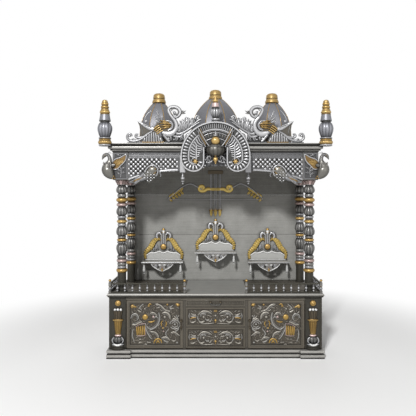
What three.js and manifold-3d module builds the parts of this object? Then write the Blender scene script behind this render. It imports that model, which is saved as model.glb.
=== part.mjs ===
// Home shrine cabinet. A low cabinet with two doors and three drawers carries four turned
// columns, a cornice with three domes, carved birds and a peacock fan, and three small thrones
// that hang on the back wall. Millimetres, +Z up, +X to the right, +Y towards the back.
// The origin is the middle of the underside, on the plinth's cross rail.
// Pieces are modelled on the left, where X is negative, and mirrored for the right.

import * as THREE from 'three';
import { mergeVertices } from 'three/addons/utils/BufferGeometryUtils.js';
import Module from 'manifold-3d';

const wasm = await Module();
wasm.setup();

// Clearances
const gap = 0.3; // between faces that rest on each other
const overrun = 5; // how far a cutter passes the face that it opens
const faceGap = 1.5; // round each door and drawer front
const weld = 0.001; // vertices closer than this are one

// Plinth
const plinthHalf = 915;
const plinthFront = -352;
const backY = 330;
const plinthHeight = 70;
const plinthBlock = 206; // width of the corner blocks that stand forward
const plinthBreak = 20; // how far they stand forward
const plinthMould = 12;
const plinthRail = 90;
const crossRail = 120;
const plinthShares = [[1, 0], [1, 0.42], [0.3, 0.5], [0, 0.62], [0.2, 0.74], [0.85, 0.82], [0.85, 1]];

// Cabinet
const carcassHalf = 898;
const board = 18;
const faceFront = -312; // front of doors, drawer fronts and stiles
const faceThick = 22;
const cabinetTop = 512; // underside of the top board
const topRail = 28; // rail below the top board
const floorThick = 12;
const pilasterWidth = 142;
const hingeSlot = 5.5; // between pilaster and door
const stileX = 261.5;
const panelSet = 8; // side panels stand this far inside the pilasters' edge
const stileWidth = 22;
const doorClear = 7; // under the doors

// Top board
const topHalf = 900;
const topFront = -334;
const topThick = 32;
const topMould = 12;
const topShares = [[0, 0], [0.3, 0.12], [0.3, 0.25], [0.85, 0.34], [1, 0.6], [0.85, 0.9], [0.5, 1]];

// Doors
const doorMargin = 30; // frame round the carved field
const fieldDepth = 6;
const hingeShort = 30; // the hinge stops this far from each end of the door
const hingeRadius = 3.2;
const hingePin = 1.4;
const hingeRun = 0.3; // running clearance round pins
const leafThick = 1.2;
const leafDepth = 16;
const hingeProud = 3; // hinge axis in front of the door's face
const pullInset = 16; // pull's centre from the door's free edge
const pullDrop = 170.5; // pull's pivot below the door's top
const pullStandoff = 12;
const pullLength = 74;
const pullRadius = 8;
const pullShares = [[0.35, 0], [0.45, 0.12], [1, 0.24], [0.8, 0.42], [0.35, 0.7], [0.35, 1]];
const earThick = 3;
const eyeWidth = 7;
const eyeRadius = 5;
const eyePin = 2;

// Drawers
const railUpperDrop = 55.5; // middle of the rail under the tray, below the top rail
const railUpperThick = 11;
const railLowerDrop = 226;
const railLowerThick = 8;
const drawerDepth = 540;
const drawerWall = 12;
const drawerClear = 6; // between a drawer's side and the divider
const drawerDrop = 16; // drawer sides stop this far below the front's top edge
const drawerMargin = 18;
const bailHalf = 41;
const bailSink = 14.5; // bail's pivot below the tray's top
const bailDrop = 26;
const bailRadius = 3;
const bailStandoff = 14;
const bailShares = [[-1, 0], [-0.9, 0.55], [-0.6, 0.85], [-0.25, 0.72], [0, 1], [0.25, 0.72], [0.6, 0.85],
  [0.9, 0.55], [1, 0]];

// Carved bracket on each pilaster, half a turning: width, depth and height shares
const bracketX = 821;
const bracketHalf = 52;
const bracketDepth = 34;
const bracketDrop = 72; // below the top rail
const bracketShares = [[0.85, 0.75, 0], [0.9, 0.8, 0.06], [0.85, 0.85, 0.1], [1, 1, 0.2], [0.9, 0.9, 0.27],
  [0.45, 0.6, 0.31], [0.62, 0.7, 0.35], [0.45, 0.55, 0.39], [0.62, 0.62, 0.5], [0.78, 0.72, 0.7],
  [0.82, 0.9, 0.705], [0.82, 0.9, 0.74], [0.6, 0.6, 0.745], [0.78, 0.62, 0.925], [0.84, 0.8, 0.93],
  [0.84, 0.8, 1]];
const bossRadius = 25;
const bossDrop = 28; // below the top rail
const bossDepth = 14;

// Railing
const railingInset = 11; // from the top board's end
const railingSetback = 19; // from its front
const railingShort = 20; // the side run stops this far before the wall
const railingInner = 260;
const railingBars = 9; // balusters along the front of each side
const railingDepthBars = 9;
const railingTop = 86;
const railThick = 12;
const railWidth = 14;
const balusterRadius = 9;
const balusterShares = [[1, 0], [0.45, 0.38], [1, 0.68], [0.5, 1]];
const postRadius = 13;
const postHeight = 118;
const postShares = [[1, 0], [1, 0.16], [0.55, 0.24], [1, 0.45], [1, 0.74], [0.55, 0.8], [1, 0.9], [0.4, 1]];

// Columns: radius and height shares
const columnX = 803;
const columnFront = -235;
const columnRear = 240;
const columnRadius = 49;
const columnHeight = 953;
const columnSides = 8;
const columnShares = [[0.78, 0], [0.76, 0.175], [0.96, 0.192], [0.74, 0.21], [0.78, 0.25], [0.74, 0.265],
  [0.94, 0.284], [0.76, 0.3], [0.74, 0.328], [0.96, 0.37], [0.74, 0.43], [0.9, 0.441], [0.66, 0.452],
  [0.78, 0.463], [0.66, 0.48], [0.74, 0.5], [0.98, 0.535], [0.92, 0.56], [0.68, 0.58], [0.76, 0.605],
  [0.84, 0.628], [0.7, 0.65], [0.78, 0.668], [0.66, 0.686], [0.94, 0.735], [0.72, 0.76], [0.98, 0.773],
  [0.72, 0.788], [0.96, 0.821], [0.74, 0.838], [0.82, 0.862], [0.74, 0.878], [1, 0.91], [0.78, 0.947],
  [0.84, 0.96], [1.22, 1]];

// Back wall
const wallHalf = 850;
const wallFront = 302;
const wallThick = 18;

// Frieze blocks and lattice
const blockSize = 130;
const friezeHeight = 235;
const friezeFront = -292;
const friezeThick = 22;
const latticeEnd = 320; // inner end of each lattice
const archInner = 159; // how far the frieze hangs below its top at that end
const archOuter = 238; // and at the corner block
const latticePitch = 39;
const latticeHole = 12.5; // half diagonal of a hole
const latticeTop = 57; // solid band above the holes
const latticeBorder = 24;
const sideArch = 92;
const pendantX = 278;
const pendantHalf = 25;
const pendantDrop = 173;
const pendantTurn = 99;
const pendantRadius = 17;
const pendantShares = [[0.15, 0], [0.55, 0.07], [0.3, 0.2], [0.6, 0.32], [0.35, 0.42], [1, 0.68], [0.5, 0.9],
  [0.6, 1]];
const beamDrop = 120;

// Cornice and roof
const corniceHalf = 872;
const corniceFront = -306;
const corniceHeight = 73;
const corniceMould = 42;
const corniceShares = [[0, 0], [0, 0.16], [0.3, 0.22], [0.42, 0.4], [0.75, 0.48], [0.75, 0.62], [0.9, 0.68],
  [1, 0.8], [1, 1]];
const corniceRing = 70;
const roofThick = 16;

// Domes and their caps
const domeX = 510;
const domeSides = 8;
const sideDome = { radius: 178, height: 389 };
const centreDome = { radius: 232, height: 420 };
const domeWall = 14;
const domeShares = [[0.96, 0], [1, 0.16], [0.985, 0.34], [0.92, 0.52], [0.8, 0.68], [0.64, 0.81], [0.46, 0.92],
  [0.3, 1]];
const capRadius = 63;
const capHeight = 90;
const capShares = [[0.97, 0], [1, 0.12], [0.8, 0.32], [0.68, 0.46], [0.78, 0.54], [0.76, 0.78], [0.55, 0.97],
  [0.2, 1]];

// Corner finials
const finialOut = 9; // its axis past the cornice's end
const finialAhead = 4; // and in front of its edge
const finialLap = 27.2; // its foot below the cornice's top
const finialHeight = 385;
const finialRadius = 64;
const finialShares = [[0.84, 0], [0.84, 0.15], [0.8, 0.16], [0.98, 0.24], [1, 0.32], [0.86, 0.46], [0.74, 0.51],
  [0.8, 0.53], [0.72, 0.55], [0.64, 0.665], [0.68, 0.68], [0.68, 0.75], [0.52, 0.77], [0.54, 0.83], [0.44, 0.94],
  [0.32, 0.95], [0.3, 1]];

// Crest of each side: a swan on scrolls. Shares of the crest's length and height
const crestStart = -752;
const crestLength = 640;
const crestHeight = 320;
const crestSetback = 2; // from the cornice's front edge
const crestThick = 34;
const swanShares = [[0.42, 0.36, 0.09], [0.455, 0.32, 0.1], [0.492, 0.277, 0.09], [0.572, 0.239, 0.08],
  [0.653, 0.32, 0.072], [0.68, 0.458, 0.064], [0.642, 0.618, 0.055], [0.598, 0.739, 0.05],
  [0.573, 0.858, 0.048], [0.598, 0.94, 0.046], [0.653, 0.955, 0.046], [0.705, 0.898, 0.05],
  [0.722, 0.799, 0.06], [0.691, 0.694, 0.02]];
const plumeShares = [[0.715, 0.83, 0.02], [0.75, 0.85, 0.018], [0.795, 0.851, 0.03]];
const flameShares = [[0.44, 0.33, 0.07], [0.37, 0.33, 0.08], [0.3, 0.38, 0.06], [0.24, 0.48, 0.05],
  [0.2, 0.56, 0.035], [0.157, 0.568, 0.012]];
const curlShares = [[0.3, 0.16, 0.03], [0.175, 0.05, 0.026], [0.11, 0.04, 0.024], [0.04, 0.08, 0.022],
  [0.014, 0.17, 0.022], [0.03, 0.24, 0.022], [0.064, 0.22, 0.024], [0.06, 0.165, 0.03]];
const curlInnerShares = [[0.25, 0.1, 0.024], [0.175, 0.13, 0.022], [0.151, 0.18, 0.02], [0.171, 0.225, 0.02],
  [0.2, 0.2, 0.028]];
const legShares = [[0.54, 0.22, 0.035], [0.55, 0.12, 0.028], [0.6, 0.02, 0.028]];
const tieShares = [[0.67, 0.42, 0.025], [0.72, 0.47, 0.022], [0.8, 0.42, 0.02]];
const drapeShares = [[0.17, 0.0], [0.22, 0.1], [0.29, 0.29], [0.36, 0.34], [0.46, 0.28], [0.494, 0.15],
  [0.518, 0.0]];
const wingShares = [[0.352, 0.349], [0.4, 0.43], [0.442, 0.48], [0.4, 0.6], [0.36, 0.78], [0.43, 0.69],
  [0.5, 0.63], [0.563, 0.558], [0.602, 0.458], [0.513, 0.36], [0.437, 0.239]];
const leafShares = [[0.62, 0], [0.625, 0.04], [0.667, 0.22], [0.727, 0.39], [0.75, 0.53], [0.798, 0.534],
  [0.84, 0.67], [0.882, 0.652], [0.92, 0.76], [0.956, 0.724], [1, 0.505], [0.94, 0.449], [0.873, 0.355],
  [0.816, 0.24], [0.769, 0.105], [0.744, 0]];
const crestBaseShares = [[0.15, 0], [0.15, 0.04], [0.76, 0.04], [0.76, 0]];
const wingThick = 20;

// Medallion: a horseshoe fan built from arcs
const fanRadius = 290;
const fanDrop = 42.9; // the arc's middle below the cornice's foot
const haunchRadius = 112;
const lobeRadius = 86;
const fanTuck = 5; // degrees that the fan's arc runs past its middle
const throatRise = 75; // above the arc's middle
const fanThick = 24;
const fanRim = 12; // how far the rim stands forward
const fanBand = 26;
const fanInner = 70; // inset of the inner ring
const fanInnerBand = 12;
const arcSteps = 3;
const rosetteX = 158;
const rosetteDrop = 44; // below the arc's middle
const rosetteRadius = 26;

// Peacock in front of the medallion
const peacockRise = 18; // above the arc's middle
const peacockSpan = 145;
const peacockTall = 262;
const peacockBowl = { half: 92, height: 84, depth: 60 };
const peacockWingShares = [[0.42, 0.22, 0.1], [0.6, 0.42, 0.09], [0.8, 0.66, 0.07], [0.97, 0.88, 0.03]];
const peacockNeckShares = [[0, 0.25, 0.16], [0, 0.42, 0.14], [0, 0.58, 0.08], [0, 0.78, 0.06], [0, 0.88, 0.09],
  [0, 0.99, 0.03]];
const peacockScrollShares = [[0.1, -0.1, 0.04], [0.25, 0, 0.04], [0.45, -0.06, 0.04], [0.62, -0.2, 0.035],
  [0.52, -0.3, 0.035], [0.3, -0.16, 0.03], [0.1, -0.16, 0.03]];
const dropShares = [[0.1, 0], [0.7, 0.12], [1, 0.32], [0.7, 0.52], [0.4, 0.6], [0.8, 0.9], [0.6, 1]];
const dropHeight = 62;
const dropRadius = 18;

// Pot finial over the medallion
const potRadius = 43;
const potHeight = 203;
const potShares = [[0.82, 0], [0.82, 0.11], [0.6, 0.13], [1, 0.32], [0.98, 0.5], [0.7, 0.54], [0.82, 0.57],
  [0.72, 0.78], [0.5, 0.82], [0.62, 0.84], [0.6, 0.92], [0.45, 1]];

// Birds at the corners. Shares of the bird's height, from the block's outer edge and foot
const birdTall = 230;
const birdForward = 26;
const birdShares = [[0.05, 0.04, 0.05], [-0.08, 0.14, 0.1], [-0.22, 0.3, 0.17], [-0.22, 0.46, 0.16],
  [-0.12, 0.6, 0.1], [-0.09, 0.72, 0.075], [-0.12, 0.86, 0.065], [-0.2, 0.93, 0.062], [-0.3, 0.88, 0.07],
  [-0.37, 0.76, 0.02]];
const birdWingShares = [[-0.05, 0.56], [0.07, 0.74], [0.32, 0.84], [0.49, 0.93], [0.47, 0.72], [0.3, 0.53],
  [0.16, 0.4], [-0.03, 0.42]];
const birdWingThick = 14;

// Birds on the lattice. Shares of their length, from the frieze's outer end and its arch
const perchLength = 320;
const perchShares = [[0.02, -0.05, 0.03], [0.2, 0.1, 0.05], [0.36, 0.24, 0.09], [0.52, 0.36, 0.13],
  [0.64, 0.4, 0.12], [0.76, 0.36, 0.06], [0.84, 0.42, 0.045], [0.9, 0.45, 0.05], [1, 0.46, 0.012]];

// Bow and arrows on the back wall. Shares of the bow's half width and height
const bowHalf = 468;
const bowRise = 169; // above the arrows' points
const bowTall = 158;
const appliqueThick = 8;
const bowShares = [[-1, 0.02, 0.045], [-0.9, 0.22, 0.05], [-0.78, 0.62, 0.05], [-0.62, 0.95, 0.05],
  [-0.5, 0.98, 0.05], [-0.34, 0.7, 0.06], [-0.2, 0.58, 0.07], [0, 0.58, 0.08]];
const bowScrollShares = [[-0.24, 0.5, 0.05], [-0.27, 0.72, 0.045], [-0.2, 0.84, 0.045], [-0.14, 0.72, 0.04]];
const stringWidth = 8;
const arrowHalf = 4;
const arrowPitch = 42;
const arrowDrop = 131.9; // their tops below the cornice's foot
const arrowClear = 12.7; // points above the middle throne's crown
const arrowHead = 46;
const arrowHeadHalf = 17;
const quiverHalf = 72;
const quiverHeight = 34;

// Thrones: shelf half width and depth, then shares of the half width
const throneHalf = 195;
const throneShelves = { left: -500, center: 0, right: 500 };
const throneRises = { left: 193.7, center: 283.7, right: 193.7 }; // above the deck
const shelfDepth = 150;
const shelfThick = 12;
const apronHalf = 108;
const apronDrop = 80;
const apronThick = 14;
const apronShares = [[-1, 1], [-1, 0.78], [-0.82, 0.7], [-0.7, 0.4], [-0.3, 0.2], [0, 0], [0.3, 0.2], [0.7, 0.4],
  [0.82, 0.7], [1, 0.78], [1, 1]];
const apronHoleShares = [[-0.55, 0.8], [-0.4, 0.5], [-0.12, 0.45], [-0.12, 0.8]];
const legTurn = 99;
const legRadius = 11;
const legTurnShares = [[0.3, 0], [0.7, 0.1], [0.4, 0.25], [1, 0.45], [0.6, 0.75], [0.9, 1]];
const legInset = 24;
const backShares = [[-0.92, 0], [-0.92, 0.28], [-0.6, 0.42], [-0.36, 0.42], [-0.2, 0.5], [0, 0.42], [0.2, 0.5],
  [0.36, 0.42], [0.6, 0.42], [0.92, 0.28], [0.92, 0]];
const backThick = 16;
const throneBirdShares = [[0.9, 0.07, 0.08], [0.9, 0.3, 0.09], [0.79, 0.47, 0.09], [0.585, 0.68, 0.09],
  [0.48, 0.9, 0.09], [0.33, 1.03, 0.09], [0.19, 0.98, 0.07]];
const throneHeadShares = [[0.33, 1.02, 0.05], [0.4, 1.2, 0.045], [0.33, 1.36, 0.05], [0.18, 1.38, 0.04],
  [0.0, 1.3, 0.035]];
const throneStemShares = [[0, 0.42, 0.05], [0, 0.9, 0.045], [0, 1.42, 0.04], [0, 1.46, 0.07], [0, 1.54, 0.06],
  [0, 1.6, 0.02]];
const throneBossRadius = 31;
const throneBossShare = 0.68;

// Converts a geometry to a solid that can be joined and cut
function solid(geometry) {
  const plain = geometry.index ? geometry.toNonIndexed() : geometry.clone();
  plain.deleteAttribute('normal');
  plain.deleteAttribute('uv');
  const merged = mergeVertices(plain, weld);
  const index = merged.index.array;
  const faces = [];
  for (let i = 0; i < index.length; i += 3) {
    const [a, b, c] = [index[i], index[i + 1], index[i + 2]];
    if (a !== b && b !== c && c !== a) faces.push(a, b, c);
  }
  return new wasm.Manifold(new wasm.Mesh({
    numProp: 3,
    vertProperties: merged.attributes.position.array,
    triVerts: new Uint32Array(faces),
  }));
}

function toGeometry(body) {
  const data = body.getMesh();
  const geometry = new THREE.BufferGeometry();
  geometry.setAttribute('position', new THREE.BufferAttribute(new Float32Array(data.vertProperties), 3));
  geometry.setIndex(new THREE.BufferAttribute(new Uint32Array(data.triVerts), 1));
  geometry.computeVertexNormals();
  return geometry;
}

function join(bodies) {
  return bodies.reduce((sum, body) => sum.add(body));
}

function cut(body, cutters) {
  return cutters.reduce((rest, cutter) => rest.subtract(cutter), body);
}

// A box between two corners
function box(x0, x1, y0, y1, z0, z1) {
  const geometry = new THREE.BoxGeometry(x1 - x0, y1 - y0, z1 - z0);
  geometry.translate((x0 + x1) / 2, (y0 + y1) / 2, (z0 + z1) / 2);
  return solid(geometry);
}

// A turning on an upright axis, from shares of its radius and height
function turning(shares, radius, height, sides, x, y, z) {
  const profile = shares.map(([r, h]) => new THREE.Vector2(r * radius, h * height));
  profile.unshift(new THREE.Vector2(0, profile[0].y));
  profile.push(new THREE.Vector2(0, profile[profile.length - 1].y));
  const geometry = new THREE.LatheGeometry(profile, sides);
  geometry.rotateX(Math.PI / 2);
  geometry.rotateZ(Math.PI / sides);
  geometry.translate(x, y, z);
  return solid(geometry);
}

// A rod along X
function rod(radius, x0, x1, y, z, sides = 8) {
  const geometry = new THREE.CylinderGeometry(radius, radius, x1 - x0, sides);
  geometry.rotateZ(Math.PI / 2);
  geometry.translate((x0 + x1) / 2, y, z);
  return solid(geometry);
}

// An upright rod
function pin(radius, x, y, z0, z1, sides = 8) {
  const geometry = new THREE.CylinderGeometry(radius, radius, z1 - z0, sides);
  geometry.rotateX(Math.PI / 2);
  geometry.translate(x, y, (z0 + z1) / 2);
  return solid(geometry);
}

// A plate cut to an outline in X and Z, between two depths
function plate(shape, y0, y1, steps = arcSteps) {
  const corners = shape.extractPoints(steps).shape;
  const edge = corners.filter((p, i) => p.distanceTo(corners[(i + 1) % corners.length]) > gap);
  const rings = [y0, y1].map((y) => edge.map((p) => new THREE.Vector3(p.x, y, p.y)));
  return loft(rings, (p) => new THREE.Vector2(p.x, p.z));
}

function outline(points) {
  return new THREE.Shape(points.map(([x, z]) => new THREE.Vector2(x, z)));
}

// Skins closed rings of equal count and closes both ends; ends are triangulated in their plane
function loft(rings, endPlane) {
  const count = rings[0].length;
  const positions = rings.flat().flatMap((p) => [p.x, p.y, p.z]);
  const index = [];
  for (let r = 0; r < rings.length - 1; r++) {
    for (let i = 0; i < count; i++) {
      const a = r * count + i;
      const b = r * count + (i + 1) % count;
      index.push(a, b, b + count, a, b + count, a + count);
    }
  }
  const last = (rings.length - 1) * count;
  const flat = endPlane ? rings[0].map(endPlane) : null;
  const faces = flat ? THREE.ShapeUtils.triangulateShape(flat, []) : fan(count);
  const turned = flat && THREE.ShapeUtils.area(flat) < 0;
  for (const [a, b, c] of faces) {
    index.push(...(turned ? [a, b, c] : [a, c, b]));
    index.push(...(turned ? [last + a, last + c, last + b] : [last + a, last + b, last + c]));
  }
  const geometry = new THREE.BufferGeometry();
  geometry.setAttribute('position', new THREE.Float32BufferAttribute(positions, 3));
  geometry.setIndex(index);
  return solid(outward(geometry));
}

function fan(count) {
  return Array.from({ length: count - 2 }, (_, i) => [0, i + 1, i + 2]);
}

// Turns the faces round where they point inwards
function outward(geometry) {
  const p = geometry.attributes.position;
  const index = geometry.index.array;
  const [a, b, c] = [new THREE.Vector3(), new THREE.Vector3(), new THREE.Vector3()];
  let volume = 0;
  for (let i = 0; i < index.length; i += 3) {
    a.fromBufferAttribute(p, index[i]);
    b.fromBufferAttribute(p, index[i + 1]);
    c.fromBufferAttribute(p, index[i + 2]);
    volume += a.dot(b.cross(c));
  }
  if (volume < 0) {
    for (let i = 0; i < index.length; i += 3) {
      [index[i + 1], index[i + 2]] = [index[i + 2], index[i + 1]];
    }
  }
  return geometry;
}

// A slab with moulded edges: a right-angled plan outline, moved outwards as the profile says
function moulding(plan, shares, mould, height, z) {
  const count = plan.length;
  const sign = Math.sign(THREE.ShapeUtils.area(plan));
  const rings = shares.map(([out, up]) => plan.map((corner, i) => {
    const before = corner.clone().sub(plan[(i + count - 1) % count]).normalize();
    const after = plan[(i + 1) % count].clone().sub(corner).normalize();
    const x = (before.y + after.y) * sign;
    const y = -(before.x + after.x) * sign;
    return new THREE.Vector3(corner.x + x * out * mould, corner.y + y * out * mould, z + up * height);
  }));
  return loft(rings, (p) => new THREE.Vector2(p.x, p.y));
}

function plan(points) {
  return points.map(([x, y]) => new THREE.Vector2(x, y));
}

// A rounded rope along a curve in an XZ plane; each point holds x, z and radius
function rope(points, y, depthShare, steps, sides = 6) {
  const curve = new THREE.CatmullRomCurve3(points.map(([x, z, r]) => new THREE.Vector3(x, r, z)));
  const rings = [];
  for (let i = 0; i <= steps; i++) {
    const at = curve.getPoint(i / steps);
    const along = curve.getTangent(i / steps);
    const side = new THREE.Vector2(-along.z, along.x).normalize();
    const ring = [];
    for (let k = 0; k < sides; k++) {
      const angle = (2 * Math.PI * k) / sides;
      const across = Math.cos(angle) * at.y;
      const deep = Math.sin(angle) * at.y * depthShare;
      ring.push(new THREE.Vector3(at.x + side.x * across, y + deep, at.z + side.y * across));
    }
    rings.push(ring);
  }
  return loft(rings);
}

// Places shares of a width and a height, and of the height for the radius
function placed(shares, x, z, width, height, thickness = height) {
  return shares.map(([u, v, r = 0]) => [x + u * width, z + v * height, r * thickness]);
}

function mirrored(points) {
  return points.map(([x, z, r]) => [-x, z, r]);
}

const darkSilver = { color: 0x6b6860, roughness: 0.45, metalness: 0.55 };
const brightSilver = { color: 0x9a9a97, roughness: 0.32, metalness: 0.75 };
const domeGrey = { color: 0x777a84, roughness: 0.35, metalness: 0.5 };
const wallGrey = { color: 0x74736c, roughness: 0.5, metalness: 0.3 };
const gold = { color: 0xc29a4a, roughness: 0.35, metalness: 0.8 };
const bronze = { color: 0x3d3429, roughness: 0.4, metalness: 0.8 };
const steel = { color: 0x8d8f90, roughness: 0.35, metalness: 0.9 };
const plywood = { color: 0xa98f6a, roughness: 0.7, metalness: 0 };

const shrine = new THREE.Group();
const rightHand = new THREE.Group();
rightHand.scale.x = -1;
shrine.add(rightHand);

function add(name, body, finish, parent = shrine) {
  const mesh = new THREE.Mesh(toGeometry(body), new THREE.MeshStandardMaterial(finish));
  mesh.name = name;
  parent.add(mesh);
}

// Adds a left piece and its mirror image
function addPair(name, body, finish) {
  add(`${name}_left`, body, finish);
  add(`${name}_right`, body, finish, rightHand);
}

// Heights and places that several pieces share
const cabinetBase = plinthHeight + gap;
const floorTop = cabinetBase + floorThick;
const faceBack = faceFront + faceThick;
const carcassFront = faceBack + gap;
const faceTop = cabinetTop - topRail;
const pilasterInner = -carcassHalf + pilasterWidth;
const wallBack = wallFront + wallThick;
const deckHeight = cabinetTop + topThick;
const deckTop = deckHeight + gap;
const columnTop = deckTop + columnHeight;
const blockFoot = columnTop + gap;
const friezeTop = blockFoot + friezeHeight;
const corniceFoot = friezeTop + gap;
const roofTop = corniceFoot + corniceHeight;
const roofSeat = roofTop + gap;
const panelOuter = -carcassHalf + panelSet;
const panelInner = panelOuter + board;
const corniceEdge = corniceFront - corniceMould;
const corniceEnd = corniceHalf + corniceMould;
const fanHeight = corniceFoot - fanDrop;
const peacockBase = fanHeight + peacockRise;
const crownTop = throneStemShares.at(-1)[1] * throneHalf;
const arrowFoot = deckTop + throneRises.center + gap + crownTop + arrowClear;
const arrowTop = corniceFoot - arrowDrop;
const bowFoot = arrowFoot + bowRise;

// Plinth: moulded frame, open underneath, with a rail across its middle
function plinth() {
  const x = plinthHalf - plinthMould;
  const front = plinthFront + plinthMould;
  const blockEnd = x - plinthBlock + plinthMould;
  const body = moulding(plan([[-x, front], [-blockEnd, front], [-blockEnd, front + plinthBreak],
    [blockEnd, front + plinthBreak], [blockEnd, front], [x, front], [x, backY - plinthMould],
    [-x, backY - plinthMould]]), plinthShares, plinthMould, plinthHeight, 0);
  const inner = x - plinthRail;
  const y0 = front + plinthBreak + plinthRail;
  const y1 = backY - plinthMould - plinthRail;
  const bays = [-1, 1].map((side) => box(
    side < 0 ? -inner : crossRail / 2,
    side < 0 ? -crossRail / 2 : inner,
    y0, y1, -overrun, plinthHeight + overrun,
  ));
  return cut(body, bays);
}

add('plinth', plinth(), darkSilver);
add('cabinet_floor', box(panelInner + gap, -panelInner - gap, carcassFront, wallFront - gap, cabinetBase,
  floorTop), plywood);
addPair('side_panel', box(panelOuter, panelInner, carcassFront, wallBack, cabinetBase, cabinetTop - gap),
  darkSilver);
add('cabinet_back', box(panelInner + gap, -panelInner - gap, wallFront, wallBack, cabinetBase,
  cabinetTop - gap), plywood);

// Dividers: a panel with a face stile in front of it
function divider() {
  const x0 = -stileX - stileWidth / 2;
  const x1 = x0 + stileWidth;
  const panel = box(x0, x1, faceBack - stileWidth / 2, wallFront - gap, floorTop + gap, cabinetTop - gap);
  const stile = box(x0, x1, faceFront, faceBack, cabinetBase, faceTop - gap);
  const railSpace = box(x0 - overrun, x1 + overrun, faceFront - overrun, faceBack + gap, faceTop - gap,
    cabinetTop + overrun);
  return cut(join([panel, stile]), [railSpace]);
}

addPair('divider', divider(), darkSilver);

// Rails with dust boards between the drawers
const bayHalf = stileX - stileWidth / 2 - gap;
const railUpper = faceTop - railUpperDrop;
const railLower = faceTop - railLowerDrop;
for (const [name, middle, thick] of [
  ['dust_board_upper', railUpper, railUpperThick],
  ['dust_board_lower', railLower, railLowerThick],
]) {
  add(name, box(-bayHalf, bayHalf, faceFront, wallFront - gap, middle - thick / 2, middle + thick / 2), plywood);
}

// Top board with a moulded edge and the rail under it
function topBoard() {
  const slab = moulding(plan([[-topHalf, topFront], [topHalf, topFront], [topHalf, backY - topMould],
    [-topHalf, backY - topMould]]), topShares, topMould, topThick, cabinetTop);
  const rail = box(pilasterInner + gap, -pilasterInner - gap, faceFront, faceBack, faceTop, cabinetTop + gap);
  return join([slab, rail]);
}

add('top_board', topBoard(), darkSilver);

// Pilaster board with its carved bracket and diamond boss
function pilaster() {
  const bracketTop = faceTop - bracketDrop;
  const bossHeight = faceTop - bossDrop;
  const post = box(-carcassHalf, pilasterInner, faceFront, faceBack, cabinetBase, cabinetTop - gap);
  const foot = cabinetBase + gap;
  const rings = bracketShares.map(([w, d, h]) => {
    const z = foot + h * (bracketTop - foot);
    const ring = [0, 1, 2, 3, 4, 5, 6].map((k) => new THREE.Vector3(
      -bracketX - Math.cos((Math.PI * k) / 6) * w * bracketHalf,
      faceFront - Math.sin((Math.PI * k) / 6) * d * bracketDepth,
      z,
    ));
    return [...ring, new THREE.Vector3(-bracketX + w * bracketHalf, faceFront + faceThick / 2, z),
      new THREE.Vector3(-bracketX - w * bracketHalf, faceFront + faceThick / 2, z)];
  });
  const boss = new THREE.ConeGeometry(bossRadius, bossDepth, 4);
  boss.rotateX(Math.PI / 2);
  boss.rotateX(Math.PI);
  boss.translate(-bracketX, faceFront - bossDepth / 2 + weld, bossHeight);
  const plug = box(-bracketX - bossRadius / 4, -bracketX + bossRadius / 4, faceFront - bossDepth / 2,
    faceFront + faceThick / 2, bossHeight - bossRadius / 4, bossHeight + bossRadius / 4);
  return join([post, loft(rings, (p) => new THREE.Vector2(p.x, p.y)), solid(boss), plug]);
}

addPair('pilaster', pilaster(), darkSilver);

// Doors, with a sunk field and the staple that the pull hangs on
const doorOuter = pilasterInner + hingeSlot;
const doorInner = -stileX - stileWidth / 2 - faceGap;
const doorFoot = plinthHeight + doorClear;
const doorTop = faceTop - faceGap;
const hingeX = pilasterInner + hingeSlot / 2;
const hingeY = faceFront - hingeProud;
const hingeFoot = doorFoot + hingeShort;
const hingeTop = doorTop - hingeShort;
const pullX = doorInner - pullInset;
const pullY = faceFront - pullStandoff;
const pullHeight = doorTop - pullDrop;

function ears(x, y, z, half, thick, root) {
  return [-1, 1].map((side) => {
    const inner = x + side * half;
    const outer = inner + side * thick;
    return box(Math.min(inner, outer), Math.max(inner, outer), y - eyeRadius * 0.8, root, z - eyeRadius * 0.8,
      z + eyeRadius * 0.8);
  });
}

function door() {
  const panel = box(doorOuter, doorInner, faceFront, faceBack, doorFoot, doorTop);
  const field = box(doorOuter + doorMargin, doorInner - doorMargin, faceFront - overrun,
    faceFront + fieldDepth, doorFoot + doorMargin, doorTop - doorMargin);
  const half = eyeWidth / 2 + gap;
  const staple = ears(pullX, pullY, pullHeight, half, earThick, faceFront + fieldDepth / 2);
  const bar = rod(eyePin, pullX - half - earThick / 2, pullX + half + earThick / 2, pullY, pullHeight);
  return join([cut(panel, [field]), ...staple, bar]);
}

// Drop pull: an eye round the staple's bar and a turned drop
function doorPull() {
  const eye = rod(eyeRadius, pullX - eyeWidth / 2, pullX + eyeWidth / 2, pullY, pullHeight);
  const bore = rod(eyePin + hingeRun, pullX - eyeWidth, pullX + eyeWidth, pullY, pullHeight);
  const drop = turning(pullShares, pullRadius, pullLength, 8, pullX, pullY, pullHeight - pullLength - eyePin);
  return cut(join([eye, drop]), [bore]);
}

// Continuous hinge. Its knuckles lie in thirds: the frame leaf has the outer two
const hingeStep = (hingeTop - hingeFoot) / 3;
const knuckleLow = hingeFoot + hingeStep;
const knuckleHigh = hingeTop - hingeStep;

function leaf(side, knuckles) {
  const face = hingeX + side * (hingeSlot / 2 - gap);
  const x0 = Math.min(face, face - side * leafThick);
  const plates = [box(x0, x0 + leafThick, hingeY + hingeRadius + hingeRun, faceFront + leafDepth, hingeFoot,
    hingeTop)];
  const barrels = knuckles.flatMap(([low, high]) => [
    box(x0, x0 + leafThick, hingeY, faceFront + leafDepth, low, high),
    pin(hingeRadius, hingeX, hingeY, low, high),
  ]);
  return join([...plates, ...barrels]);
}

function frameLeaf() {
  const knuckles = [[hingeFoot, knuckleLow - hingeRun], [knuckleHigh + hingeRun, hingeTop]];
  const bore = pin(hingePin + hingeRun, hingeX, hingeY, hingeFoot - overrun, hingeTop + overrun);
  return cut(leaf(-1, knuckles), [bore]);
}

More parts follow.
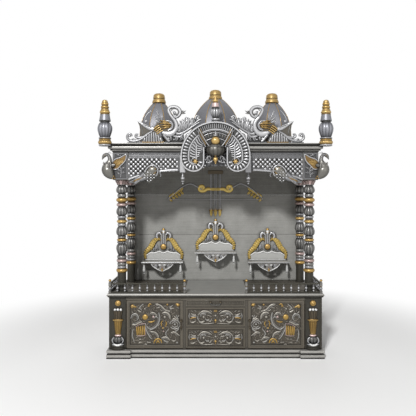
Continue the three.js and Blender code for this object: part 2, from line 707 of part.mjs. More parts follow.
function doorLeaf() {
  const leafBody = leaf(1, [[knuckleLow, knuckleHigh]]);
  return join([leafBody, pin(hingePin, hingeX, hingeY, hingeFoot, hingeTop)]);
}

addPair('door', door(), darkSilver);
addPair('door_pull', doorPull(), bronze);
addPair('hinge_frame_leaf', frameLeaf(), steel);
addPair('hinge_door_leaf', doorLeaf(), steel);

// Drawers: a face with a sunk field and an open box behind it
const drawerHalf = bayHalf + gap - faceGap;
const trayFoot = railUpper + railUpperThick / 2 + faceGap;
const upperFoot = railLower + railLowerThick / 2 + faceGap;
const upperTop = railUpper - railUpperThick / 2 - faceGap;
const lowerTop = railLower - railLowerThick / 2 - faceGap;

function drawer(foot, top, boxFoot) {
  const face = box(-drawerHalf, drawerHalf, faceFront, faceBack, foot, top);
  const field = box(-drawerHalf + drawerMargin, drawerHalf - drawerMargin, faceFront - overrun,
    faceFront + fieldDepth, foot + drawerMargin, top - drawerMargin);
  const half = bayHalf - drawerClear;
  const end = faceFront + drawerDepth;
  const body = box(-half, half, faceBack - drawerWall / 2, end, boxFoot, top - drawerDrop);
  const hollow = box(-half + drawerWall, half - drawerWall, faceBack, end - drawerWall,
    boxFoot + drawerWall, top + overrun);
  return cut(join([face, body]), [field, hollow]);
}

const bailY = faceFront - bailStandoff;
const bailHeight = doorTop - bailSink;

function tray() {
  const top = doorTop;
  const face = box(-drawerHalf, drawerHalf, faceFront, faceBack, trayFoot, top);
  const half = bayHalf - drawerClear;
  const end = faceFront + drawerDepth;
  const foot = railUpper + railUpperThick / 2 + gap;
  const body = box(-half, half, faceBack - drawerWall / 2, end, foot, top - drawerDrop);
  const hollow = box(-half + drawerWall, half - drawerWall, faceBack, end - drawerWall, foot + drawerWall / 2,
    top + overrun);
  const staples = [-1, 1].flatMap((side) => {
    const x = side * bailHalf;
    const eyeHalf = eyeWidth / 2 + gap;
    return [...ears(x, bailY, bailHeight, eyeHalf, earThick, faceFront + fieldDepth / 2),
      rod(eyePin, x - eyeHalf - earThick / 2, x + eyeHalf + earThick / 2, bailY, bailHeight)];
  });
  return join([cut(join([face, body]), [hollow]), ...staples]);
}

function trayBail() {
  const eyes = [-1, 1].map((side) => rod(eyeRadius, side * bailHalf - eyeWidth / 2,
    side * bailHalf + eyeWidth / 2, bailY, bailHeight));
  const bores = [-1, 1].map((side) => rod(eyePin + hingeRun, side * bailHalf - eyeWidth,
    side * bailHalf + eyeWidth, bailY, bailHeight));
  const path = bailShares.map(([u, v]) => [u * bailHalf, bailHeight - eyePin - v * bailDrop, bailRadius]);
  return cut(join([...eyes, rope(path, bailY, 1, 12, 4)]), bores);
}

add('drawer_tray', tray(), darkSilver);
add('tray_bail', trayBail(), bronze);
add('drawer_upper', drawer(upperFoot, upperTop, railLower + railLowerThick / 2 + gap), darkSilver);
add('drawer_lower', drawer(doorFoot + faceGap, lowerTop, floorTop + gap), darkSilver);

// Railings: one L-shaped piece on each side
function railing() {
  const railingX = topHalf - railingInset;
  const railingY = topFront + railingSetback;
  const railingEnd = wallFront - railingShort;
  const top = deckTop + railingTop;
  const half = railWidth / 2;
  const low = deckTop + railThick;
  const pieces = [];
  for (const [z0, z1] of [[deckTop, low], [top - railThick, top]]) {
    pieces.push(box(-railingX, -railingInner, railingY - half, railingY + half, z0, z1));
    pieces.push(box(-railingX - half, -railingX + half, railingY, railingEnd, z0, z1));
  }
  const barHeight = railingTop - railThick;
  const bar = (x, y) => turning(balusterShares, balusterRadius, barHeight, 4, x, y, deckTop + railThick / 2);
  for (let i = 1; i <= railingBars; i++) {
    const share = i / (railingBars + 1);
    pieces.push(bar(-railingX + share * (railingX - railingInner), railingY));
  }
  for (let i = 1; i <= railingDepthBars; i++) {
    const share = i / (railingDepthBars + 1);
    pieces.push(bar(-railingX, railingY + share * (railingEnd - railingY)));
  }
  for (const [x, y] of [[-railingX, railingY], [-railingInner, railingY], [-railingX, railingEnd]]) {
    pieces.push(turning(postShares, postRadius, postHeight, 6, x, y, deckTop));
  }
  return join(pieces);
}

addPair('railing', railing(), brightSilver);

for (const [place, y] of [['front', columnFront], ['rear', columnRear]]) {
  addPair(`column_${place}`, turning(columnShares, columnRadius, columnHeight, columnSides, -columnX, y, deckTop),
    brightSilver);
}

add('back_wall', box(-wallHalf, wallHalf, wallFront, wallBack, deckTop, friezeTop), wallGrey);

// Diamond holes on a slanting grid inside a shape given as a test
function latticeHoles(x0, x1, top, foot, y0, y1, limit) {
  const holes = [];
  const step = latticePitch / 2;
  for (let row = 0; top - row * step - latticeHole > foot; row++) {
    const z = top - row * step - latticeHole;
    for (let x = x0 + latticeHole + (row % 2) * step; x + latticeHole <= x1; x += latticePitch) {
      if (z - latticeHole > limit(x)) {
        const hole = outline([[x - latticeHole, z], [x, z - latticeHole], [x + latticeHole, z],
          [x, z + latticeHole]]);
        holes.push(plate(hole, y0, y1));
      }
    }
  }
  return holes;
}

// Front frieze: two arched lattices, a plain beam behind the medallion and two hung pendants
const blockOuter = -columnX - blockSize / 2;
const blockInner = -columnX + blockSize / 2;
const blockFront = columnFront - blockSize / 2;

function friezeFrontBody() {
  const end = blockInner + gap;
  const y1 = friezeFront + friezeThick;
  const archFoot = (x) => {
    const share = Math.max(0, (-x - latticeEnd) / (-end - latticeEnd));
    return friezeTop - archInner - (archOuter - archInner) * share * share;
  };
  const arch = [0, 0.2, 0.4, 0.6, 0.8, 1].map((share) => {
    const x = -latticeEnd + share * (end + latticeEnd);
    return [x, archFoot(x)];
  });
  const right = [[0, friezeTop - beamDrop], [-pendantX + pendantHalf, friezeTop - beamDrop],
    [-pendantX + pendantHalf, friezeTop - pendantDrop], [-pendantX - pendantHalf, friezeTop - pendantDrop],
    [-pendantX - pendantHalf, friezeTop - archInner], ...arch, [end, friezeTop], [0, friezeTop]];
  const half = cut(plate(outline(right), friezeFront, y1), latticeHoles(end + latticeBorder / 4, -latticeEnd,
    friezeTop - latticeTop, friezeTop - archOuter, friezeFront - overrun, y1 + overrun,
    (x) => archFoot(x) + latticeBorder));
  const turned = turning(pendantShares, pendantRadius, pendantTurn, 8, -pendantX, friezeFront + friezeThick / 2,
    friezeTop - pendantDrop - pendantTurn + gap);
  return join([half, turned]);
}

const friezeHalf = friezeFrontBody();
add('frieze_front', join([friezeHalf, mirror(friezeHalf)]), darkSilver);

function mirror(body) {
  const geometry = toGeometry(body);
  geometry.scale(-1, 1, 1);
  return solid(outward(geometry));
}

// Side frieze: carved blocks on the two columns and a lattice between them
function friezeSide() {
  const blocks = [columnFront, columnRear].map((y) => {
    const back = Math.min(y + blockSize / 2, wallFront - gap);
    return box(blockOuter, blockInner, y - blockSize / 2, back, blockFoot, friezeTop);
  });
  const x = -columnX - friezeThick / 2;
  const y0 = columnFront + blockSize / 2 - gap;
  const y1 = columnRear - blockSize / 2 + gap;
  const beam = outline([[y0, friezeTop], [y0, friezeTop - sideArch - latticeBorder], [y0 + latticeBorder,
    friezeTop - sideArch], [y1 - latticeBorder, friezeTop - sideArch], [y1, friezeTop - sideArch - latticeBorder],
    [y1, friezeTop]]);
  const holes = latticeHoles(y0 + latticeBorder / 2, y1 - latticeBorder / 2, friezeTop - latticeBorder,
    friezeTop - sideArch + latticeBorder / 2, -overrun, friezeThick + overrun, () => -Infinity);
  const panel = toGeometry(cut(plate(beam, 0, friezeThick), holes));
  panel.rotateZ(Math.PI / 2);
  panel.translate(x + friezeThick, 0, 0);
  return join([...blocks, solid(panel)]);
}

addPair('frieze_side', friezeSide(), darkSilver);

// Cornice ring and the roof board inside it
function cornice() {
  const body = moulding(plan([[-corniceHalf, corniceFront], [corniceHalf, corniceFront], [corniceHalf, backY],
    [-corniceHalf, backY]]), corniceShares, corniceMould, corniceHeight, corniceFoot);
  const behind = box(-plinthHalf * 2, plinthHalf * 2, backY, backY + corniceMould * 2, corniceFoot - overrun,
    roofTop + overrun);
  const well = box(-corniceHalf + corniceRing, corniceHalf - corniceRing, corniceFront + corniceRing,
    backY - corniceRing, corniceFoot - overrun, roofTop + overrun);
  return cut(body, [behind, well]);
}

add('cornice', cornice(), darkSilver);
add('roof_board', box(-corniceHalf + corniceRing + gap, corniceHalf - corniceRing - gap,
  corniceFront + corniceRing + gap, backY - corniceRing - gap, roofTop - roofThick, roofTop), plywood);

// Domes: eight-sided shells, open below
function dome(size, x) {
  const ring = (radius, z) => Array.from({ length: domeSides }, (_, i) => {
    const angle = (2 * Math.PI * (i + 0.5)) / domeSides;
    return new THREE.Vector3(x + Math.cos(angle) * radius, Math.sin(angle) * radius, z);
  });
  const outer = domeShares.map(([r, h]) => ring(r * size.radius, roofSeat + h * size.height));
  const inner = domeShares.map(([r, h], i) => ring(r * size.radius - domeWall,
    roofSeat + h * size.height - (i ? domeWall : overrun)));
  return cut(loft(outer), [loft(inner)]);
}

function cap(size, x) {
  return turning(capShares, capRadius, capHeight, 10, x, 0, roofSeat + size.height + gap);
}

addPair('dome', dome(sideDome, -domeX), domeGrey);
addPair('dome_cap', cap(sideDome, -domeX), gold);
add('dome_center', dome(centreDome, 0), domeGrey);
add('dome_cap_center', cap(centreDome, 0), gold);

// Corner finials, notched over the cornice's corner
function cornerFinial() {
  const foot = roofSeat - finialLap;
  const body = turning(finialShares, finialRadius, finialHeight, 10, -corniceEnd - finialOut,
    corniceEdge - finialAhead, foot);
  const notch = box(-corniceEnd - gap, 0, corniceEdge - gap, backY, foot - overrun, roofSeat);
  return cut(body, [notch]);
}

addPair('corner_finial', cornerFinial(), brightSilver);

// Crest: swan, scrolls and leaves that stand on the cornice
function crest() {
  const crestFront = corniceEdge + crestSetback;
  const crestY = crestFront + crestThick / 2;
  const crestBack = crestFront + crestThick;
  const at = (shares) => placed(shares, crestStart, roofSeat, crestLength, crestHeight);
  const ropes = [[swanShares, 17, 6], [plumeShares, 2, 4], [flameShares, 6, 4], [curlShares, 10, 4],
    [curlInnerShares, 5, 4], [legShares, 1, 4], [tieShares, 2, 4]];
  const bodies = ropes.map(([shares, steps, sides]) => rope(at(shares), crestY, 1, steps, sides));
  const plates = [drapeShares, leafShares, crestBaseShares].map((shares) => plate(
    outline(at(shares)), crestFront + crestThick / 5, crestBack - crestThick / 5));
  const wing = plate(outline(at(wingShares)), crestY - crestThick / 2 - wingThick / 2, crestY);
  const below = box(crestStart - crestLength, 0, crestFront - crestThick * 2, crestBack + crestThick,
    roofSeat - crestHeight, roofSeat);
  return cut(join([...bodies, ...plates, wing]), [below]);
}

addPair('crest', crest(), brightSilver);

// Medallion
function fanOutline(inset) {
  const tuck = THREE.MathUtils.degToRad(fanTuck);
  const lobeX = (fanRadius - haunchRadius) * Math.cos(tuck);
  const haunchHeight = fanHeight - (fanRadius - haunchRadius) * Math.sin(tuck);
  const lobeHeight = haunchHeight - haunchRadius + lobeRadius;
  const [fanR, haunchR, lobeR] = [fanRadius - inset, haunchRadius - inset, lobeRadius - inset];
  const shape = new THREE.Shape();
  const throatHeight = fanHeight + throatRise + inset / 4;
  shape.moveTo(lobeX - lobeR, throatHeight);
  shape.lineTo(lobeX - lobeR, lobeHeight);
  shape.absarc(lobeX, lobeHeight, lobeR, Math.PI, 1.5 * Math.PI, false);
  shape.absarc(lobeX, haunchHeight, haunchR, 1.5 * Math.PI, 2 * Math.PI - tuck, false);
  shape.absarc(0, fanHeight, fanR, -tuck, Math.PI + tuck, false);
  shape.absarc(-lobeX, haunchHeight, haunchR, Math.PI + tuck, 1.5 * Math.PI, false);
  shape.absarc(-lobeX, lobeHeight, lobeR, 1.5 * Math.PI, 2 * Math.PI, false);
  shape.lineTo(-lobeX + lobeR, throatHeight);
  return shape;
}

const fanBack = corniceEdge - gap;
const fanFront = fanBack - fanThick;

function medallion() {
  const back = plate(fanOutline(0), fanFront, fanBack, arcSteps);
  const ringOf = (outer, inner, proud) => cut(
    plate(fanOutline(outer), fanFront - proud, fanFront + fanThick / 2, arcSteps),
    [plate(fanOutline(inner), fanFront - proud - overrun, fanBack, arcSteps)],
  );
  const rims = [ringOf(0, fanBand, fanRim), ringOf(fanInner, fanInner + fanInnerBand, fanRim)];
  const rosettes = [-1, 1].map((side) => {
    const knob = new THREE.CylinderGeometry(rosetteRadius / 2, rosetteRadius, fanRim * 1.5, 10);
    knob.rotateX(Math.PI / 2);
    knob.rotateX(Math.PI);
    knob.translate(side * rosetteX, fanFront - fanRim / 2, fanHeight - rosetteDrop);
    return solid(knob);
  });
  return join([back, ...rims, ...rosettes]);
}

add('medallion', medallion(), brightSilver);

// Peacock, flat against the medallion's inner field
function peacock() {
  const back = fanFront - fanRim - gap;
  const bowl = new THREE.SphereGeometry(1, 10, 6);
  bowl.scale(peacockBowl.half, peacockBowl.depth, peacockBowl.height / 2);
  bowl.translate(0, back, peacockBase + peacockBowl.height / 2);
  const at = (shares, side) => shares.map(([u, v, r]) => [side * u * peacockSpan, peacockBase + v * peacockTall,
    r * peacockTall]);
  const wings = [-1, 1].map((side) => rope(at(peacockWingShares, side), back - overrun, 0.8, 4, 5));
  const scrolls = [-1, 1].map((side) => rope(at(peacockScrollShares, side), back - overrun, 1, 8, 4));
  const neck = rope(at(peacockNeckShares, 1), back - overrun * 2, 1.1, 7, 6);
  const drop = turning(dropShares, dropRadius, dropHeight, 6, 0, back - dropRadius,
    peacockBase - dropHeight + overrun);
  const behind = box(-peacockSpan * 2, peacockSpan * 2, back, back + peacockTall, peacockBase - peacockTall,
    peacockBase + peacockTall * 2);
  return cut(join([solid(bowl), ...wings, ...scrolls, neck, drop]), [behind]);
}

add('peacock', peacock(), brightSilver);
add('pot_finial', turning(potShares, potRadius, potHeight, 10, 0, fanFront - fanRim / 2 + fanThick / 2,
  fanHeight + fanRadius + gap), brightSilver);

// Bird on each corner block, with its wing spread on the block's front
function cornerBird() {
  const front = blockFront - gap;
  const at = (shares) => placed(shares, blockOuter, blockFoot + gap, birdTall, birdTall);
  const body = rope(at(birdShares), front - birdForward, 0.8, 16, 6);
  const wing = plate(outline(at(birdWingShares)), front - birdWingThick, front);
  const link = rope(at([[-0.16, 0.5, 0.08], [-0.02, 0.52, 0.09], [0.1, 0.55, 0.06]]), front - birdForward / 2,
    0.7, 2, 5);
  const space = box(blockOuter - gap, 0, front, 0, blockFoot - birdTall, friezeTop + birdTall);
  return cut(join([body, wing, link]), [space]);
}

addPair('corner_peacock', cornerBird(), brightSilver);

// Bird perched on the lattice
function perchedBird() {
  const back = friezeFront - gap;
  const at = placed(perchShares, blockInner + gap, friezeTop - archOuter, perchLength, perchLength);
  const behind = box(-plinthHalf, 0, back, 0, 0, roofTop);
  return cut(rope(at, back - overrun, 0.8, 11, 7), [behind]);
}

addPair('perched_bird', perchedBird(), brightSilver);

// Bow and arrows, flat on the wall
function bowOrnament() {
  const y1 = wallFront - gap;
  const y0 = y1 - appliqueThick;
  const at = (shares) => placed(shares, 0, bowFoot, bowHalf, bowTall);
  const band = (points) => {
    const curve = new THREE.CatmullRomCurve3(points.map(([x, z, r]) => new THREE.Vector3(x, r, z)));
    const steps = points.length;
    const left = [];
    const right = [];
    for (let i = 0; i <= steps; i++) {
      const p = curve.getPoint(i / steps);
      const along = curve.getTangent(i / steps);
      const side = new THREE.Vector2(-along.z, along.x).normalize();
      left.push([p.x + side.x * p.y, p.z + side.y * p.y]);
      right.unshift([p.x - side.x * p.y, p.z - side.y * p.y]);
    }
    return plate(outline([...left, ...right]), y0, y1);
  };
  const limbs = [bowShares, bowScrollShares].flatMap((shares) => [band(at(shares)), band(mirrored(at(shares)))]);
  const string = box(-bowHalf, bowHalf, y0, y1, bowFoot - stringWidth / 2, bowFoot + stringWidth / 2);
  const arrows = [-1, 0, 1].flatMap((k) => {
    const x = k * arrowPitch;
    const head = outline([[x - arrowHeadHalf, arrowFoot + arrowHead], [x, arrowFoot],
      [x + arrowHeadHalf, arrowFoot + arrowHead]]);
    return [box(x - arrowHalf, x + arrowHalf, y0, y1, arrowFoot + arrowHead / 2, arrowTop),
      plate(head, y0, y1)];
  });
  const block = box(-quiverHalf, quiverHalf, y0, y1, arrowTop - quiverHeight, arrowTop);
  return join([...limbs, string, ...arrows, block]);
}

add('bow_ornament', bowOrnament(), gold);

// Thrones: a shelf with apron and turned pendants, and a back with two birds
function throneShelf(x, z) {
  const y1 = wallFront - gap;
  const y0 = y1 - shelfDepth;
  const slab = box(x - throneHalf, x + throneHalf, y0, y1, z - shelfThick, z);
  const foot = z - shelfThick - apronDrop;
  const apron = plate(outline(placed(apronShares, x, foot, apronHalf, apronDrop + shelfThick / 2)), y0,
    y0 + apronThick);
  const holes = [-1, 1].map((side) => plate(outline(apronHoleShares.map(([u, v]) => [x + side * u * apronHalf,
    foot + v * apronDrop])), y0 - overrun, y0 + apronThick + overrun));
  const legs = [-1, 1].map((side) => turning(legTurnShares, legRadius, legTurn, 6,
    x + side * (throneHalf - legInset), y0 + legInset, z - shelfThick - legTurn + gap));
  return join([slab, cut(apron, holes), ...legs]);
}

function throneBack(x, z) {
  const y1 = wallFront - gap;
  const y0 = y1 - backThick;
  const foot = z + gap;
  const at = (shares, side) => shares.map(([u, v, r]) => [x + side * u * throneHalf, foot + v * throneHalf,
    r * throneHalf]);
  const panel = plate(outline(at(backShares, 1)), y0, y1);
  const both = [throneBirdShares, throneHeadShares].flatMap((shares) => [-1, 1].map((side) => rope(
    at(shares, side), y0 + backThick / 2, 0.8, shares.length, 4)));
  const stem = rope(at(throneStemShares, 1), y0 + backThick / 2, 1, 6, 4);
  const boss = new THREE.SphereGeometry(throneBossRadius, 8, 5);
  boss.scale(1, 0.6, 1);
  boss.translate(x, y0 + backThick / 2, foot + throneBossShare * throneHalf);
  const behind = box(x - throneHalf * 2, x + throneHalf * 2, y1, y1 + throneHalf, 0, friezeTop);
  const below = box(x - throneHalf * 2, x + throneHalf * 2, 0, y1, 0, foot);
  return cut(join([panel, ...both, stem, solid(boss)]), [behind, below]);
}

for (const place of ['left', 'center', 'right']) {
  add(`throne_shelf_${place}`, throneShelf(throneShelves[place], deckTop + throneRises[place]), brightSilver);
  add(`throne_back_${place}`, throneBack(throneShelves[place], deckTop + throneRises[place]), gold);
}

export default shrine;
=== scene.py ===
import math
import random
from collections import namedtuple

import bpy
import numpy as np
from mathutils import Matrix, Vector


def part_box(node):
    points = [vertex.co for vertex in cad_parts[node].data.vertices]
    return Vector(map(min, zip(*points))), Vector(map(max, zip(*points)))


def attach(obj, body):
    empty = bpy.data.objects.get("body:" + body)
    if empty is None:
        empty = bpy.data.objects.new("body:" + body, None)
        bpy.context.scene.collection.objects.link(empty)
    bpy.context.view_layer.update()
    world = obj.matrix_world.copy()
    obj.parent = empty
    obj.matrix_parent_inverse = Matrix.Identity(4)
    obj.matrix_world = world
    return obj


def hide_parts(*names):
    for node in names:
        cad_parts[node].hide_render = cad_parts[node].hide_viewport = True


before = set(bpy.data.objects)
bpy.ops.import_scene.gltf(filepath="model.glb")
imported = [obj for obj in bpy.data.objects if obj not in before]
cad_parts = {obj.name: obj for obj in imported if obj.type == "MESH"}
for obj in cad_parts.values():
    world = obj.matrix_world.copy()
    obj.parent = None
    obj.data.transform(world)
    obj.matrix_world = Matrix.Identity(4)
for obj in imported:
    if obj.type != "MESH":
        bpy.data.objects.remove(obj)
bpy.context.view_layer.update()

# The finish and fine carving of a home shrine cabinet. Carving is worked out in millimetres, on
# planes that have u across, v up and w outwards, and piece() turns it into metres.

MM = 0.001
TAU = 2 * math.pi
IMAGE = 416  # width and height of the picture in pixels
SENSOR = 36  # width of the sensor in millimetres
FOCAL_PIXELS = 503.5
CENTRE_PIXEL = (215.5, 190)  # where the camera's axis meets the picture
CAMERA_PLACE = (0, -4.556, 1.413)  # metres


class Box(namedtuple("Box", "x0 y0 z0 x1 y1 z1")):
    """A node's box in millimetres, with its middle in x and y and its height"""

    x = property(lambda self: (self.x0 + self.x1) / 2)
    y = property(lambda self: (self.y0 + self.y1) / 2)
    tall = property(lambda self: self.z1 - self.z0)


def box_of(node):
    low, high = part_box(node)
    return Box(*(value / MM for value in (*low, *high)))


# Camera and light

Lamp = namedtuple("Lamp", "name place aim size power")

LAMPS = (
    Lamp("key", (-2.1, -9.0, 6.7), (0, 0, 1.1), 1.1, 1220),
    Lamp("fill", (3.4, -4.4, 2.6), (0, 0, 1.0), 3.0, 25),
    Lamp("rear", (0, 4.0, 4.5), (0, 0, 1.4), 3.0, 60),
)
WORLD_LIGHT = 0.16  # how strongly the white surroundings light the object
FLOOR_RINGS = (0.001, 1.0, 2.0, 3.0, 5.0, 30.0)  # radii in metres
FLOOR_SIDES = 64
FLOOR_COLOUR = (0.93, 0.93, 0.925, 1)
FLOOR_FADE = (1.6, 3.2)  # metres from the middle over which the floor turns into the background


def add_camera():
    data = bpy.data.cameras.new("camera")
    data.sensor_width = SENSOR
    data.lens = FOCAL_PIXELS * SENSOR / IMAGE
    data.shift_x = (IMAGE / 2 - CENTRE_PIXEL[0]) / IMAGE
    data.shift_y = (CENTRE_PIXEL[1] - IMAGE / 2) / IMAGE
    camera = bpy.data.objects.new("camera", data)
    camera.location = CAMERA_PLACE
    camera.rotation_euler = (math.radians(90), 0, 0)
    bpy.context.scene.collection.objects.link(camera)
    bpy.context.scene.camera = camera


def add_lamp(lamp):
    data = bpy.data.lights.new(lamp.name, "AREA")
    data.size = lamp.size
    data.energy = lamp.power
    holder = bpy.data.objects.new(lamp.name, data)
    holder.location = lamp.place
    x, y, z = np.subtract(lamp.aim, lamp.place)
    holder.rotation_euler = (math.atan2(np.hypot(x, y), -z), 0, math.atan2(-x, y))
    bpy.context.scene.collection.objects.link(holder)


def link(tree, start, end):
    tree.links.new(start, end)


def math_node(tree, operation, *inputs):
    node = tree.nodes.new("ShaderNodeMath")
    node.operation = operation
    for socket, value in zip(node.inputs, inputs):
        if isinstance(value, (int, float)):
            socket.default_value = value
        else:
            link(tree, value, socket)
    return node.outputs[0]


def seen_directly(tree):
    """1 for rays from the camera and for reflections, 0 for light that falls on the object"""
    path = tree.nodes.new("ShaderNodeLightPath")
    gloss = math_node(tree, "MAXIMUM", path.outputs["Is Glossy Ray"], path.outputs["Is Transmission Ray"])
    return math_node(tree, "MAXIMUM", path.outputs["Is Camera Ray"], gloss)


def add_world():
    world = bpy.data.worlds.new("studio")
    bpy.context.scene.world = world
    world.use_nodes = True
    tree = world.node_tree
    background = tree.nodes["Background"]
    background.inputs["Color"].default_value = (1, 1, 1, 1)
    lit = math_node(tree, "MULTIPLY_ADD", seen_directly(tree), 1 - WORLD_LIGHT, WORLD_LIGHT)
    link(tree, lit, background.inputs["Strength"])


def add_floor():
    """A pale disc that keeps the shadow and fades to the white background"""
    angles = np.arange(FLOOR_SIDES) * TAU / FLOOR_SIDES
    verts = [(r * math.cos(a), r * math.sin(a), 0) for r in FLOOR_RINGS for a in angles]
    mesh = bpy.data.meshes.new("floor")
    mesh.from_pydata(verts, [], grid(len(FLOOR_RINGS), FLOOR_SIDES).tolist())
    floor = bpy.data.objects.new("floor", mesh)
    bpy.context.scene.collection.objects.link(floor)
    material = bpy.data.materials.new("floor")
    material.use_nodes = True
    tree = material.node_tree
    shader = tree.nodes["Principled BSDF"]
    shader.inputs["Base Color"].default_value = FLOOR_COLOUR
    shader.inputs["Roughness"].default_value = 0.7
    shader.inputs["Specular IOR Level"].default_value = 0.1
    white = tree.nodes.new("ShaderNodeEmission")
    coords = tree.nodes.new("ShaderNodeTexCoord")
    length = tree.nodes.new("ShaderNodeVectorMath")
    length.operation = "LENGTH"
    link(tree, coords.outputs["Object"], length.inputs[0])
    fade = tree.nodes.new("ShaderNodeMapRange")
    fade.interpolation_type = "SMOOTHSTEP"
    fade.inputs["From Min"].default_value, fade.inputs["From Max"].default_value = FLOOR_FADE
    link(tree, length.outputs["Value"], fade.inputs["Value"])
    mix = tree.nodes.new("ShaderNodeMixShader")
    link(tree, fade.outputs["Result"], mix.inputs["Fac"])
    link(tree, shader.outputs[0], mix.inputs[1])
    link(tree, white.outputs[0], mix.inputs[2])
    link(tree, mix.outputs[0], tree.nodes["Material Output"].inputs["Surface"])
    mesh.materials.append(material)


# Finishes

# Colours of lit, raised places and of shaded, sunk places (painted highlight and painted shade),
# how metallic and rough, the axis of the grain, whether the carving's painted light shades it, how
# worn and how glossy
Finish = namedtuple("Finish", "bright dark metallic rough grain carved wear gloss", defaults=(0.5,))

FINISHES = {
    "pewter": Finish((0.27, 0.262, 0.243), (0.022, 0.02, 0.016), 0.35, 0.38, "x", True, 0.3),
    "pewter_tall": Finish((0.05, 0.047, 0.037), (0.010, 0.009, 0.007), 0.2, 0.42, "z", True, 0.4, 0.3),
    "pewter_board": Finish((0.20, 0.192, 0.175), (0.05, 0.047, 0.04), 0.4, 0.42, "z", False, 0.3),
    "dark_board": Finish((0.075, 0.067, 0.054), (0.025, 0.022, 0.017), 0.2, 0.45, "z", False, 0.3, 0.3),
    "cornice": Finish((0.24, 0.234, 0.218), (0.012, 0.011, 0.009), 0.4, 0.36, "x", True, 0.25),
    "finial": Finish((0.27, 0.275, 0.30), (0.03, 0.03, 0.034), 0.45, 0.34, None, True, 0.3),
    "ground_leaf": Finish((0.215, 0.19, 0.155), (0.02, 0.017, 0.013), 0.35, 0.38, None, True, 0.5),
    "amber": Finish((0.34, 0.215, 0.055), (0.045, 0.022, 0.005), 0.45, 0.36, None, True, 0.5),
    "tray": Finish((0.17, 0.153, 0.124), (0.016, 0.014, 0.011), 0.3, 0.42, "x", True, 0.4, 0.3),
    "plinth": Finish((0.34, 0.33, 0.31), (0.012, 0.011, 0.009), 0.4, 0.38, "x", True, 0.35),
    "wall_gold": Finish((0.66, 0.48, 0.13), (0.10, 0.06, 0.012), 0.3, 0.4, None, True, 0.4),
    "frame": Finish((0.105, 0.092, 0.072), (0.010, 0.009, 0.007), 0.2, 0.42, "x", True, 0.4, 0.3),
    "relief": Finish((0.28, 0.26, 0.226), (0.02, 0.017, 0.013), 0.35, 0.34, None, True, 0.4),
    "column": Finish((0.18, 0.176, 0.168), (0.007, 0.007, 0.007), 0.42, 0.3, None, True, 0.7),
    "white": Finish((0.66, 0.66, 0.65), (0.14, 0.14, 0.135), 0.15, 0.4, None, True, 0.2),
    "frieze": Finish((0.115, 0.115, 0.119), (0.02, 0.02, 0.02), 0.35, 0.4, "x", True, 0.25),
    "silver": Finish((0.39, 0.39, 0.397), (0.013, 0.013, 0.014), 0.38, 0.3, None, True, 0.2),
    "soft_silver": Finish((0.27, 0.27, 0.276), (0.012, 0.012, 0.012), 0.4, 0.34, None, True, 0.3),
    "old_silver": Finish((0.27, 0.262, 0.245), (0.035, 0.03, 0.025), 0.4, 0.36, None, True, 0.4),
    "dark_silver": Finish((0.12, 0.118, 0.112), (0.012, 0.012, 0.011), 0.45, 0.36, None, True, 0.4),
    "gold": Finish((0.38, 0.24, 0.07), (0.05, 0.025, 0.006), 0.45, 0.34, None, True, 0.4),
    "bright_gold": Finish((0.43, 0.29, 0.10), (0.08, 0.04, 0.008), 0.42, 0.32, None, True, 0.25),
    "old_gold": Finish((0.27, 0.175, 0.06), (0.035, 0.022, 0.008), 0.45, 0.38, None, True, 0.4),
    "copper": Finish((0.36, 0.27, 0.25), (0.04, 0.025, 0.022), 0.4, 0.36, None, True, 0.3),
    "rose": Finish((0.66, 0.50, 0.48), (0.10, 0.06, 0.055), 0.3, 0.34, None, True, 0.2),
    "dome": Finish((0.19, 0.192, 0.208), (0.035, 0.035, 0.04), 0.5, 0.46, "z", True, 0.25),
    "wall": Finish((0.30, 0.298, 0.282), (0.12, 0.119, 0.108), 0.0, 0.5, "x", True, 0.5, 0.12),
    "deck": Finish((0.38, 0.378, 0.36), (0.20, 0.20, 0.188), 0.2, 0.4, "x", True, 0.4, 0.3),
    "panel": Finish((0.36, 0.36, 0.345), (0.14, 0.14, 0.13), 0.1, 0.45, None, True, 0.25, 0.3),
    "bronze_silver": Finish((0.16, 0.155, 0.14), (0.02, 0.018, 0.014), 0.6, 0.3, None, True, 0.3),
    "bronze": Finish((0.13, 0.105, 0.07), (0.015, 0.011, 0.007), 0.6, 0.34, None, True, 0.3),
    "plywood": Finish((0.50, 0.37, 0.22), (0.30, 0.20, 0.11), 0.0, 0.6, "x", False, 0.4),
}

GRAIN_ALONG = 4.0  # grain noise per metre along the board
GRAIN_ACROSS = 190.0  # and across it
SPECKLE = 150.0  # noise per metre of the fine wear
TARNISH = 11.0  # and of its broad patches
# Hollows are darkened with painted shade
PAINTED_SHADE_REACH = 0.022  # metres over which hollows darken
BUMP = 0.0008  # metres


def noise(tree, vector, scale, detail=5.0):
    node = tree.nodes.new("ShaderNodeTexNoise")
    node.inputs["Scale"].default_value = scale
    node.inputs["Detail"].default_value = detail
    link(tree, vector, node.inputs["Vector"])
    return node.outputs["Fac"]


def mapped(tree, value, low, high, out_low=0.0, out_high=1.0):
    node = tree.nodes.new("ShaderNodeMapRange")
    for name, number in zip(("From Min", "From Max", "To Min", "To Max"), (low, high, out_low, out_high)):
        node.inputs[name].default_value = number
    link(tree, value, node.inputs["Value"])
    return node.outputs["Result"]


